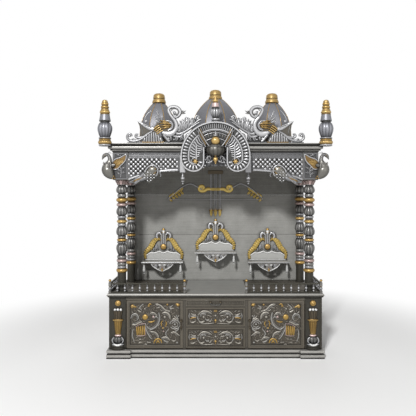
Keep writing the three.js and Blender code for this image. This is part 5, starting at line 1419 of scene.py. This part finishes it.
def crest_drape(work, plane):
    """Flutes under the swan, hemmed by a gold cord"""
    drape = [(133, 8), (147, 45), (184, 84), (218, 101), (280, 80), (302, 45), (316, 8)]
    cutout(work, plane, drape, [], -9, 4, 1, "dark_silver", 0.5)
    for k in range(8):
        share = (k + 0.5) / 8
        u = 140 + 170 * share
        top = np.interp(u, [p[0] for p in drape], [p[1] for p in drape])
        lean = (share - 0.4) * 26
        sweep(work, plane.moved(w=2), [(u, 12, 9.6, 8), (u - lean * 0.4, top * 0.55, 8.8, 9),
                                       (u - lean, top - 4, 6, 6)],
              "soft_silver", VINE, 8, shade=1.2)
    sweep(work, plane, [(136 + 182 * s, 7.5, 5, 7, 4) for s in np.linspace(0, 1, 8)], "gold", VINE, 36,
          13, 0.5)


def crest_scrolls(work, plane):
    """Curling stems to both sides, with berries and plumes"""
    curls = [
        [(218, 98, 5), (178, 74, 7), (144, 46, 8), (105, 24, 8), (66, 16, 7.5), (34, 20, 7), (14, 38, 7),
         (11, 60, 7), (24, 77, 6.5), (42, 74, 6), (47, 58, 5)],
        [(178, 66, 5), (133, 50, 7), (99, 46, 6.5), (80, 58, 6), (85, 74, 5.5), (102, 74, 5)],
        [(130, 34, 6), (92, 18, 6), (60, 34, 5), (48, 30, 3)],
        [(316, 70, 8), (338, 44, 8), (364, 14, 9)],
        [(424, 82, 9), (452, 78, 8), (488, 92, 7), (544, 128, 7), (584, 156, 6.5), (616, 176, 5)],
        [(560, 150, 4), (592, 178, 6), (618, 196, 6), (633, 200, 4)],
        [(400, 60, 6), (444, 52, 7), (470, 66, 7), (478, 92, 6)],
    ]
    for rows in curls:
        strand(work, plane, [(u, v, r * 1.6) for u, v, r in rows], 14, "soft_silver", 30, shade=1.2)
    berries = [(30, 62, 11), (92, 62, 8), (510, 206, 9), (358, 40, 10), (404, 30, 8), (448, 104, 8)]
    for u, v, radius in berries:
        ball(work, plane.place((u, v, 4)), radius, "silver", rows=7, columns=12)
    cutout(work, plane, [(322, 8), (352, 44), (400, 62), (470, 56), (498, 8)], [], -9, -2, 1,
           "dark_silver", 0.1)
    plumes = [(486, 100, 76, 92, 15, 0.25, "silver"), (496, 104, 100, 88, 14, 0.2, "soft_silver"),
              (508, 110, 62, 92, 14, 0.3, "silver"), (520, 118, 44, 78, 13, 0.25, "soft_silver"),
              (470, 96, 112, 74, 14, -0.2, "silver"), (456, 92, 128, 64, 12, -0.25, "soft_silver"),
              (500, 150, 84, 60, 12, -0.3, "silver"), (446, 86, 90, 60, 11, 0.2, "silver"),
              (548, 136, 66, 64, 12, 0.3, "silver"), (572, 152, 80, 56, 11, 0.3, "soft_silver"),
              (598, 176, 96, 46, 9, -0.4, "silver"), (420, 20, 60, 48, 12, 0.3, "silver"),
              (380, 18, 110, 40, 10, -0.3, "soft_silver"), (452, 20, 40, 56, 12, 0.3, "soft_silver"),
              (500, 40, 60, 60, 12, -0.2, "silver"), (530, 70, 30, 60, 12, 0.2, "soft_silver"),
              (486, 20, 30, 60, 11, 0.2, "silver")]
    for u, v, turn, length, half, bend, finish in plumes:
        leaf(work, plane, u, v, turn, length * 1.08, half * 1.5, finish, 13, bend=bend * 1.6)
    scroll(work, plane, 602, 212, 21, 200, 1.2, 7, "silver", -1, 10)
    scroll(work, plane, 508, 200, 24, 330, 1.0, 7, "silver", 1, 10)


def crest():
    """A swan between scrolls, with a fan of plumes behind it"""
    box = box_of("crest_left")
    work = Carving()
    y, origin = box.y1 - 21, -752
    plane = front(y, origin, box.z0)
    for part in (swan_neck, swan_tail, swan_wing, crest_drape, crest_scrolls):
        part(work, plane)
    block(work, origin + 10, origin + 486, y - 9, y + 9, box.z0, box.z0 + 9, "soft_silver", 1)
    pair("crest", work, "silver", "crest")


# Medallion

FAN = 290  # radius of the medallion's fan


def fan_line(inset, spacing=9.0):
    """The fan's outline, inset from its edge, anticlockwise from the right of the throat to its left"""
    haunch, lobe, tuck = 112, 86, math.radians(5)
    height = box_of("medallion").z1 - FAN
    x = (FAN - haunch) * math.cos(tuck)
    low = height - (FAN - haunch) * math.sin(tuck)
    lobe_height = low - haunch + lobe
    arcs = [(x, lobe_height, lobe, math.pi, 1.5 * math.pi), (x, low, haunch, 1.5 * math.pi, TAU - tuck),
            (0, height, FAN, -tuck, math.pi + tuck), (-x, low, haunch, math.pi + tuck, 1.5 * math.pi),
            (-x, lobe_height, lobe, 1.5 * math.pi, TAU)]
    throat = height + 75 + inset / 4
    points = [(x - lobe + inset, throat)]
    for cx, cz, radius, start, end in arcs:
        count = max(4, int(radius * abs(end - start) / spacing))
        for angle in np.linspace(start, end, count + 1):
            points.append((cx + (radius - inset) * math.cos(angle),
                           cz + (radius - inset) * math.sin(angle)))
    points.append((-(x - lobe + inset), throat))
    keep = [points[0]]
    for point in points[1:]:
        if math.dist(point, keep[-1]) > 0.5:
            keep.append(point)
    return keep


def point_along(line, share):
    """A point that lies a share of the way along a line"""
    line = np.asarray(line, float)
    run = np.concatenate([[0], np.cumsum(np.linalg.norm(np.diff(line, axis=0), axis=1))])
    at = share * run[-1]
    return np.array([np.interp(at, run, line[:, k]) for k in (0, 1)])


def fan_rim(work, plane, thick):
    """The plate, its raised bands, the scallops of the rim and the ribs between them"""
    cutout(work, plane, fan_line(0), [], -thick, 0, 1.5, "dark_silver", 0.2)
    for inset, half, high, finish in ((6.5, 6.3, 12, "silver"), (66, 5, 12, "silver"),
                                      (76, 2.2, 9, "soft_silver")):
        line = fan_line(inset, 6)
        sweep(work, plane, [(u, v, half, high, 0) for u, v in line], finish, BAR, len(line), shade=1.2)
    line = fan_line(38, 3)

    def spoke(share, inwards, outwards):
        before, after = point_along(line, share - 0.003), point_along(line, share + 0.003)
        run = (after - before) / np.linalg.norm(after - before)
        out = np.array((run[1], -run[0]))
        return [(before + after) / 2 + out * (reach * outwards - (1 - reach) * inwards)
                for reach in (0, 0.4, 0.75, 1)]

    low, bend = 0.082, 0.378
    scallops = 17
    for k in range(scallops):
        for share in (low + (bend - low) * (k + 0.5) / scallops,
                      1 - low - (bend - low) * (k + 0.5) / scallops):
            points = spoke(share, 19, 22)
            widths = ((3.5, 4), (8, 8), (10, 10), (7.5, 7))
            sweep(work, plane, [(*p, half, high) for p, (half, high) in zip(points, widths)], "silver",
                  VINE, 9, shade=1.25)
    ribs = 20
    for k in range(ribs):
        share = bend + 0.01 + (1 - 2 * bend - 0.02) * (k + 0.5) / ribs
        points = spoke(share, 20, 20)
        sweep(work, plane, [(*p, 4.6, 6) for p in points], "soft_silver", VINE, 5)


def fan_side(work, plane, side):
    """Plumes, leaves and a flower in a cup on one side, on a plane through the fan's middle"""
    for k in range(9):
        turn = math.radians(2 + 6.6 * k)
        radial = np.array((side * math.cos(turn), math.sin(turn)))
        over = np.array((-side * math.sin(turn), math.cos(turn)))
        points = []
        for s in (0, 0.33, 0.66, 1):
            at = radial * (133 + 79 * s) - over * 12 * math.sin(math.pi * s)
            points.append((*at, 5 + 4.2 * s, 7 + 3 * s))
        sweep(work, plane, points, "silver", VINE, 8, shade=1.2)
    leaf(work, plane, side * 106, 60, 90 + side * 8, 62, 15, "soft_silver", 10,
         bend=-side * 0.2, lobes=3)
    leaf(work, plane, side * 118, 24, 90 + side * 4, 60, 13, "soft_silver", 9, bend=side * 0.2,
         lobes=3)
    scroll(work, plane, side * 92, 128, 17, 200 if side > 0 else -20, 1.2, 5, "soft_silver",
           side, 8)
    u, v = side * 166, -42
    for radius, high in ((33, 4), (25, 6)):
        steps = [(radius, -2, 0.2), (radius, high, 0.5), (radius * 0.9, high + 1, 0.7),
                 (radius * 0.8, 1, 0.05)]
        boss(work, plane, u, v, steps, "dark_silver", 28)
    ring = [(u + 33 * math.cos(a), v + 33 * math.sin(a), 4.5, 10)
            for a in (math.pi / 2 + side * (0.35 - 5.2 * s) for s in np.linspace(0, 1, 14))]
    sweep(work, plane, ring, "silver", VINE, 26)
    bead(work, plane.moved(w=6), u, v, 17, "bright_gold")
    for k in range(6):
        bead(work, plane.moved(w=9), *point_at(u, v, 17, 60 * k), 5, "gold")
    for radius, start, end, half in ((196, 62, 88, 4), (150, 58, 82, 5)):
        arc = [(*point_at(0, 0, radius, a), half) for a in np.linspace(start, end, 6)]
        strand(work, plane, arc, 8, "silver", 10, side=side)
    for k in range(4):
        turn = 62 + 7.5 * k
        u, v = point_at(0, 0, 160, turn)
        finish = "old_silver" if k % 2 else "soft_silver"
        leaf(work, plane, side * u, v, turn if side > 0 else 180 - turn, 34, 6, finish, 7,
             bend=side * 0.3)
    for u, v, radius in ((86, -74, 8), (72, -48, 8.5), (98, -92, 6)):
        bead(work, plane, side * u, v, radius, "silver", 2)


def medallion():
    """A fan with a scalloped rim, plumes and two flowers"""
    box = box_of("medallion")
    work = Carving()
    face = box.y0 + 12
    plane = front(face)
    fan_rim(work, plane, box.y1 - face)
    for side in (-1, 1):
        fan_side(work, plane.moved(v=box.z1 - FAN), side)
    piece("medallion_carved", work, "cabinet", "silver", "medallion")


def peacock_body(work, back, base):
    """A fluted half-round body with a dark rim"""
    half, foot, tall, deep = 82, -4, 122, 52
    polar = np.linspace(0.08, math.pi - 0.08, 15)
    around = np.linspace(math.pi, TAU, 37)
    rings, painted_light = [], []
    for p in polar[::-1]:
        wave = np.abs(np.cos(around * 6)) ** 0.5
        reach = math.sin(p) * (0.95 + 0.05 * wave)
        rings.append(np.stack([np.cos(around) * half * reach, back + np.sin(around) * deep * reach,
                               np.full(len(around), base + foot + tall / 2 + math.cos(p) * tall / 2)], -1))
        # Painted light: flute crests and the front bright, painted shade in the flutes and towards the
        # sides
        painted_light.append((0.2 + 0.5 * wave * math.sin(p)) * (0.4 + 0.6 * np.abs(np.sin(around)) ** 6))
    skin(work, rings, "bronze_silver", np.concatenate(painted_light))
    rim = [(half * 0.96 * math.cos(a), back - 1 + deep * math.sin(a) * 0.96, base + foot + tall * 0.7, 4)
           for a in np.linspace(math.pi, TAU, 13)]
    tube(work, rim, "dark_silver", 40, 10)


def peacock_side(work, plane, side):
    """Two tall stems, a row of leaves and low scrolls on one side"""
    inner = [(52, 84, 7.28), (76, 116, 5.6), (110, 174, 5.6), (136, 222, 5.6), (143, 236, 2.8)]
    outer = [(80.5, 76, 6.5), (97, 108, 5), (131, 166, 5), (141, 214, 5)]
    for rows, finish in ((inner, "silver"), (outer, "soft_silver")):
        strand(work, plane.moved(w=19), rows, 15, finish, 22, side=side)
    for k in range(6):
        u, v = side * (84 + 9 * k), 84 + 18 * k
        leaf(work, plane.moved(w=20), u, v, 90 - side * 6, 56, 13, "old_gold", 6, bend=side * 0.15)
    for rows in ([(84, -28, 4), (62, -4, 4.5), (38, 8, 4.5), (20, 10, 3)],
                 [(78, -46, 4), (56, -50, 5), (32, -38, 5), (22, -28, 3)]):
        strand(work, plane, rows, 9, "silver", 14, side=side)
    for u, v, turn, length in ((62, -10, -80, 32), (44, 4, -100, 30), (50, -48, 100, 26),
                               (74, -20, -60, 24)):
        leaf(work, plane.moved(w=3), side * u, v, turn if side > 0 else 180 - turn, length, 7,
             "silver", 6, lobes=2)
    bead(work, plane, side * 32, -40, 8.5, "silver", 4)


def peacock():
    """The peacock in the medallion: a fluted body under a crested head"""
    box = box_of("peacock")
    work = Carving()
    back = box.y1
    base = box_of("medallion").z1 - FAN
    plane = front(back, 0, base)
    peacock_body(work, back, base)
    for side in (-1, 1):
        peacock_side(work, plane, side)
    neck = [(214, 3, 4), (208, 9, 10), (196, 8, 10), (184, 12, 14), (173, 22, 20), (166, 14, 14)]
    sweep(work, plane, [(0, v, r, d) for v, r, d in neck], "silver", ROUND, 26)
    body = [(166, 9, 10), (154, 14, 16), (142, 15, 22), (128, 12, 26)]
    sweep(work, plane, [(0, v, r, d) for v, r, d in body], "old_silver", ROUND, 16)
    for side in (-1, 1):
        bead(work, plane, side * 6, 156, 3.5, "silver", 14)
        leaf(work, plane.moved(w=4), side * 14, 206, 90 - side * 60, 26, 6, "gold", 5)
    ball(work, (0, back - 22, base + 128), 36, "bright_gold", (1, 0.88, 1), 15, 28)
    for k in (-1, 0, 1):
        sweep(work, plane, [(k * 13, 158, 3, 3, 16), (k * 12, 146, 3, 3, 40),
                            (k * 9, 136, 1.5, 2, 50)], "old_gold", ROUND, 6)
    for height, radius, finish in ((-24, 20, "bright_gold"), (4, 9, "old_gold"), (-46, 11, "old_gold"),
                                   (-57, 6, "bright_gold")):
        ball(work, (0, back - 21, base + height), radius, finish, (1, 0.9, 1), 11, 20)
    piece("peacock_carved", work, "cabinet", "silver", "peacock")


# Birds

def spread_tail(work, flat, tall):
    """A gilt tail fan with a silver edge and notched feathers"""
    wing = [(-0.05, 0.56), (0.07, 0.74), (0.32, 0.84), (0.49, 0.93), (0.47, 0.72), (0.3, 0.53),
            (0.16, 0.4), (-0.03, 0.42)]
    cutout(work, flat, [(u * tall, v * tall) for u, v in wing], [], 0, 10, 1, "gold", 0.3)
    edge = [(u * tall, v * tall, 5, 6, 9) for u, v in (*wing, wing[0])]
    sweep(work, flat, edge, "silver", VINE, 44)
    for k in range(8):
        share = k / 7
        leaf(work, flat.moved(w=9), 0.02 * k * tall, (0.45 + 0.012 * k) * tall, 62 - 40 * share,
             74 + 16 * math.sin(share * 3), 8, "bright_gold" if k % 2 else "gold", 5, bend=0.1, lobes=4)


def corner_peacock():
    """A peacock at the corner of a side frieze, before its spread tail"""
    box = box_of("corner_peacock_left")
    work = Carving()
    tall = 230
    x, z = box_of("frieze_side_left").x0, box_of("frieze_side_left").z0 + 0.3
    plane = front(box.y1 - 22, x, z)
    rows = [(0.05, 0.05, 0.04), (-0.03, 0.13, 0.13), (-0.12, 0.25, 0.2), (-0.18, 0.38, 0.215),
            (-0.18, 0.5, 0.17), (-0.12, 0.62, 0.11), (-0.09, 0.73, 0.078), (-0.12, 0.86, 0.062),
            (-0.2, 0.93, 0.06), (-0.3, 0.88, 0.066), (-0.35, 0.79, 0.03), (-0.37, 0.74, 0.008)]
    body = [(u * tall, v * tall, r * tall, r * tall * 0.8) for u, v, r in rows]
    sweep(work, plane, body, "bronze_silver", ROUND, 50)
    for row in range(5):
        for k in range(4):
            u, v = (-0.28 + 0.07 * k) * tall, (0.2 + 0.085 * row) * tall
            leaf(work, plane.moved(w=26 - abs(k - 1.5) * 4), u, v, 100 - 8 * k, 28, 8, "old_silver", 4)
    for k in range(9):
        u, v, r, d = spline(body, 30)[16 + k]
        sweep(work, plane, [(u - r * 0.85, v - 3, 2, 3, d * 0.7), (u, v + 3, 2.2, 3, d),
                            (u + r * 0.85, v - 3, 2, 3, d * 0.7)], "soft_silver", VINE, 5)
    ball(work, plane.place((-0.26 * tall, 0.9 * tall, 11)), 4, "gold")
    for k in range(3):
        sweep(work, plane,
              [(-0.18 * tall, 0.97 * tall, 2, 2),
               ((-0.1 + 0.05 * k) * tall, (1.04 - 0.03 * k) * tall, 1.6, 2)],
              "silver", ROUND, 4)
    spread_tail(work, front(box.y1, x, z), tall)
    bridge = [(-0.16, 0.5, 17), (-0.02, 0.52, 19), (0.1, 0.55, 11)]
    strand(work, plane, [(u * tall, v * tall, r) for u, v, r in bridge], 12, "dark_silver", 8, ROUND)
    for u, v in ((0.02, 0.03), (0.1, 0.03), (0.06, 0.1)):
        ball(work, plane.place((u * tall, v * tall + 6, 10)), 7, "old_gold")
    pair("corner_peacock", work, "silver", "corner_peacock")


def perched_bird():
    """A bird that sits on the arch of the front frieze"""
    box = box_of("perched_bird_left")
    work = Carving()
    plane = front(box.y1)
    tail = [(-592, 1540, 42, 22), (-622, 1518, 34, 18), (-658, 1500, 24, 14), (-696, 1486, 16, 10),
            (-731, 1478, 7, 5)]
    sweep(work, plane, tail, "soft_silver", LEAF, 20)
    body = [(-492, 1606, 8, 12), (-506, 1598, 32, 24), (-528, 1580, 50, 32), (-558, 1556, 46, 28),
            (-588, 1534, 34, 20), (-612, 1518, 16, 12)]
    sweep(work, plane, body, "bronze_silver", VINE, 34, shade=0.9)
    rim = [(-596, 1560), (-584, 1588), (-556, 1614), (-524, 1622), (-496, 1606), (-486, 1576),
           (-492, 1546), (-504, 1526)]
    sweep(work, plane, [(u, v, 7, 12, 14) for u, v in rim], "silver", VINE, 30, shade=1.2)
    for row in range(4):
        for k in range(4):
            u, v = -544 + 15 * k + 6 * (row % 2), 1608 - 14 * row - 5 * k
            finish = "old_gold" if (row + k) % 2 else "old_silver"
            leaf(work, plane.moved(w=25), u, v, 215, 19, 7.5, finish, 5)
    for row in range(5):
        for k in range(5):
            u, v = -556 - 14 * row + 13 * k, 1574 - 12 * row - 11 * k
            if u < -640 or v < 1482:
                continue
            place = plane.moved(u, v, 25 - 3 * row)
            tile = [place.place([(x, y, w) for x, y in ((-8, 0), (0, 7), (8, 0), (0, -7))])
                    for w in (0, 4)]
            tile.append(place.place([(x, y, 5) for x, y in ((-6, 0), (0, 5), (6, 0), (0, -5))]))
            tile.append(place.place([(0, 0, 5.4)] * 4))
            finish = "silver" if (row + k) % 2 else "dark_silver"
            # Painted light: the tiles' tops are bright and their sides shaded
            skin(work, tile, finish, [0.2] * 4 + [0.8] * 4 + [1.0] * 8)
    for k in range(4):
        leaf(work, plane.moved(w=10), -612 - 4 * k, 1528 - 6 * k, 200 + 6 * k, 92, 11,
             "gold" if k == 1 else "silver", 8, lobes=4)
    neck = [(-500, 1560, 6, 12), (-486, 1582, 6, 12), (-474, 1606, 6, 12), (-462, 1616, 7, 13),
            (-448, 1610, 6, 11), (-432, 1596, 1.5, 5)]
    sweep(work, plane, neck, "silver", ROUND, 24)
    sweep(work, plane, [(-456, 1612, 5, 8), (-444, 1620, 3, 6), (-434, 1618, 1, 4)], "soft_silver", ROUND,
          8)
    leg = [(-486, 1570, 4, 8), (-470, 1556, 4.5, 8), (-462, 1540, 4.5, 8), (-470, 1522, 4, 7)]
    sweep(work, plane, leg, "soft_silver", ROUND, 14)
    bead(work, plane, -458, 1614, 2.6, "bronze", 12)
    pair("perched_bird", work, "silver", "perched_bird")


# Ornaments on the wall

def arrow(work, plane, box, x):
    """A shaft of two thin rods over a broad leaf-shaped head that points down"""
    for rod in (-1, 1):
        rows = [(x + rod * 6, box.y1 - 4, z, 3.0) for z in (box.z0 + 70, box.z0 + 240, box.z1 - 30)]
        tube(work, rows, "silver", 4)
    leaf(work, plane, x, box.z0 + 82, -90, 81, 15, "wall_gold", 7.4)
    bead(work, plane, x, box.z0 + 66, 9, "bright_gold", -1)
    for side in (-1, 1):
        leaf(work, plane, x, box.z0 + 84, -90 + side * 36, 36, 7, "gold", 6)


def bow_ornament():
    """A bow with a carved grip and three arrows under it"""
    box = box_of("bow_ornament")
    work = Carving()
    plane = front(box.y1)
    half, tall = 468, 158
    foot = box.z0 + 169
    for side in (-1, 1):
        limb = [(-0.98, 0.03, 4), (-0.9, 0.22, 5), (-0.78, 0.55, 5), (-0.62, 0.86, 5.5), (-0.5, 0.95, 6),
                (-0.36, 0.74, 6), (-0.28, 0.6, 6)]
        sweep(work, plane, [(side * u * half, foot + v * tall, r + 3, 7) for u, v, r in limb],
              "soft_silver", VINE, 40)
        handle = [(-40, 98, 11), (-78, 100, 12), (-112, 82, 12), (-144, 84, 12), (-158, 104, 11),
                  (-148, 126, 10), (-124, 130, 9), (-112, 114, 7), (-124, 104, 5)]
        sweep(work, plane, [(side * u, foot + v, r + 4.5, 7.8) for u, v, r in handle], "wall_gold", VINE,
              34, shade=1.2)
        ball(work, plane.place((side * 130, foot + 108, 1)), 31, "wall_gold", (1, 0.14, 1), 9, 24)
        bead(work, plane, side * 122, foot + 114, 7, "bright_gold", 0)
        for k in range(5):
            u, v = side * (446 - 27 * k), foot + 12 + 17 * k
            for turn, length in ((66, 44), (-40, 40)):
                leaf(work, plane, u, v, 180 - turn if side > 0 else turn, length * 1.12, 14, "wall_gold",
                     7.6, bend=0.2 * side)
    block(work, -44, 44, box.y0 + 1, box.y1, foot + 84, foot + 112, "wall_gold", 2, 0.6)
    for k in range(5):
        bead(work, plane, (k - 2) * 18, foot + 98, 6, "gold", 2)
    tube(work, [(-half + 8, box.y1 - 4, foot, 3.2), (0, box.y1 - 4, foot, 3.2),
                (half - 8, box.y1 - 4, foot, 3.2)],
         "silver", 8)
    for k in (-1, 0, 1):
        arrow(work, plane, box, k * 42)
    block(work, -72, 72, box.y0 + 0.4, box.y1, box.z1 - 34, box.z1, "bronze", 1.5, 0.8)
    for k in range(9):
        bead(work, plane, (k - 4) * 15.5, box.z1 - 17, 4.4, "old_gold", 3)
    piece("bow_ornament_carved", work, "cabinet", "gold", "bow_ornament")


def throne_shelf(place):
    """A shelf with a pierced apron and two turned drops"""
    box = box_of(f"throne_shelf_{place}")
    work = Carving()
    top = box.z1
    half, leg = (box.x1 - box.x0) / 2, 98.7
    plane = front(box.y0, box.x, top)
    block(work, box.x0, box.x1, box.y0 + 2, box.y1, top - 12, top, "panel", 2, 1.1)
    sweep(work, plane.moved(w=-4), [(-half + 2, -5, 4, 3.6), (half - 2, -5, 4, 3.6)], "silver", VINE, 2)
    ground = front(box.y0 + 7, box.x, top - 92)
    wide, deep = 106, 80
    apron = [(-1, 1), (-1, 0.84), (-0.88, 0.7), (-0.66, 0.46), (-0.3, 0.2), (0, 0), (0.3, 0.2),
             (0.66, 0.46), (0.88, 0.7), (1, 0.84), (1, 1)]
    hole = [(-0.66, 0.78), (-0.52, 0.54), (-0.26, 0.44), (-0.26, 0.78)]
    holes = [[(side * u * wide, v * deep) for u, v in hole] for side in (-1, 1)]
    cutout(work, ground, [(u * wide, v * deep) for u, v in apron], holes, -6.5, 0, 0.8, "old_silver", 0.8)
    for side in (-1, 1):
        edge = [(side * 102, 70, 4), (side * 88, 56, 5), (side * 68, 38, 5.5), (side * 34, 20, 5.5),
                (side * 6, 6, 4)]
        sweep(work, ground, edge, "white", VINE, 18, 6, 0.3)
        leaf(work, ground, side * 8, 58, 90 - side * 70, 32, 12, "white", 7)
        leaf(work, ground, side * 36, 50, 90 - side * 50, 34, 6, "soft_silver", 6, bend=side * 0.4)
        leaf(work, ground, side * 76, 62, 90 - side * 80, 24, 7, "soft_silver", 6)
        scroll(work, ground, side * 62, 52, 16, 90, 1.3, 5.5, "silver", hand=side)
        members = [("white", "ring", 0.0, 0.08, 0.1, 0.5), ("soft_silver", "line", 0.08, 0.18, 0.3, 0.3),
                   ("white", "ring", 0.18, 0.3, 0.5, 0.9), ("white", "line", 0.3, 0.8, 1.0, 0.55),
                   ("old_silver", "line", 0.8, 0.9, 0.4, 0.4), ("white", "ring", 0.9, 1.0, 0.5, 0.85)]
        turned(work, box.x + side * (half - 24), box.y0 + 24, top - 12 - leg, leg, 13, members, 20)
    leaf(work, ground, 0, 34, -90, 34, 12, "bright_gold", 6.5)
    leaf(work, ground, 0, 30, 90, 22, 8, "copper", 6)
    ball(work, ground.place((0, 9, 0)), 7, "bright_gold")
    piece(f"throne_shelf_{place}_carved", work, "cabinet", "silver", f"throne_shelf_{place}")


def throne_bird(work, ground, side):
    """A bird with a long feathered tail that forms one arm of the throne"""
    rows = [(172, 14, 13), (176, 40, 14), (172, 72, 17), (150, 100, 21), (124, 126, 24),
            (104, 160, 26), (82, 188, 24), (56, 202, 19), (36, 198, 13), (30, 184, 6)]
    strand(work, ground, [(u, v, r * 0.6) for u, v, r in rows], 9, "gold", 40, side=side)
    path = spline([(side * u, v, r, 12) for u, v, r in rows], 60)
    for k in range(4, 58, 4):
        u, v, r = path[k][:3]
        heading = math.degrees(math.atan2(path[k + 1][1] - v, path[k + 1][0] - u))
        for lean in (-1, 1):
            leaf(work, ground.moved(w=2), u, v, heading + 180 - lean * 52, r * 1.4, r * 0.5, "wall_gold",
                 9.5, bend=lean * 0.3)
        leaf(work, ground.moved(w=6), u, v, heading + 180, r * 1.3, r * 0.42, "wall_gold", 6)
    strokes(work, ground.moved(w=4), [(7, (side * 168, 96), (side * 150, 112), (side * 156, 92))],
            "bright_gold")
    neck = [(58, 212, 10), (66, 232, 12), (60, 252, 13), (44, 262, 14), (32, 258, 11), (28, 242, 6)]
    strand(work, ground, neck, 11, "silver", 24, side=side)
    sweep(work, ground, [(side * 44, 216, 7, 7), (side * 45, 230, 8, 8), (side * 44, 244, 5, 7)],
          "bronze", VINE, 8)
    strand(work, ground, [(74, 214, 3), (84, 240, 3), (72, 266, 3)], 6, "old_silver", 10, side=side)
    bead(work, ground, side * 44, 266, 3, "bronze", 10)
    leaf(work, ground, side * 78, 96, 90 + side * 12, 62, 14, "silver", 8)
    leaf(work, ground, side * 50, 92, 90 - side * 14, 48, 9, "soft_silver", 6)
    leaf(work, ground, side * 96, 84, 90 + side * 4, 34, 9, "silver", 6)


def throne_back(place):
    """A scalloped board, two long-tailed birds and a middle post with a knob"""
    box = box_of(f"throne_back_{place}")
    work = Carving()
    wall = front(box.y1, box.x, box.z0)
    thick = 14
    edge = [(-176, 44), (-152, 58), (-126, 73), (-94, 72), (-63, 79), (-40, 89), (-22, 79), (0, 73)]
    edge = edge + [(-u, v) for u, v in edge[-2::-1]]
    curve = spline(edge, 60)[:, :2]
    cutout(work, wall, [(-178, 0), *map(tuple, curve), (178, 0)], [], 0, thick, 1, "panel", 1.1)
    sweep(work, wall, [(u, v - 3, 6, 5, thick) for u, v in curve], "white", VINE, 80)
    sweep(work, wall, [(-174, 5, 5, 3, thick), (174, 5, 5, 3, thick)], "white", VINE, 2)
    ground = wall.moved(w=thick - 1)
    for side in (-1, 1):
        throne_bird(work, ground, side)
    for u, half, finish in ((-17, 8, "old_silver"), (17, 8, "old_silver"), (0, 7.5, "silver")):
        sweep(work, ground, [(u, 150, half, 7), (u, 200, half, 8), (u, 254, half * 0.9, 8)], finish,
              BAR if u else VINE, 10)
    rings = [("dark_silver", 33, 2), ("gold", 28, 8), ("bright_gold", 22, 6)]
    for finish, radius, w in rings:
        ball(work, ground.place((0, 130, w)), radius, finish, (1, 0.4, 1), 11, 24)
    stem = [(0, 256, 12, 8), (0, 272, 15, 10), (0, 286, 12, 9), (0, 296, 15, 10), (0, 305, 8, 7),
            (0, 309, 2, 4)]
    sweep(work, ground, stem[:3], "white", VINE, 10)
    sweep(work, ground, stem[2:], "gold", VINE, 12)
    for k in (-1, 1):
        leaf(work, ground.moved(w=4), 0, 262, 90 + k * 62, 24, 6, "gold", 5)
    piece(f"throne_back_{place}_carved", work, "cabinet", "gold", f"throne_back_{place}")


bpy.context.scene.view_settings.view_transform = "Standard"
add_camera()
add_world()
add_floor()
for lamp in LAMPS:
    add_lamp(lamp)

plinth()
top_board()
pilaster()
door_leaf()
door_pull()
drawer("drawer_upper")
drawer("drawer_lower")
tray()
railing()
column("front")
column("rear")
back_wall()
frieze_front()
frieze_side()
cornice()
trio(dome, "dome", "smooth", "dome_grey")
trio(cap, "dome_cap", "turned", "gold")
corner_finial()
pot_finial()
crest()
medallion()
peacock()
corner_peacock()
perched_bird()
bow_ornament()
for side in ("left", "center", "right"):
    throne_shelf(side)
    throne_back(side)

for node in ("cabinet_floor", "cabinet_back", "roof_board"):
    dress(node, "plywood")
for node in ("dust_board_upper", "dust_board_lower"):
    dress(node, "dark_board")
for side in ("left", "right"):
    dress(f"side_panel_{side}", "pewter_board")
    dress(f"divider_{side}", "dark_board")
    dress(f"hinge_frame_leaf_{side}", "bronze")
    dress(f"hinge_door_leaf_{side}", "bronze")
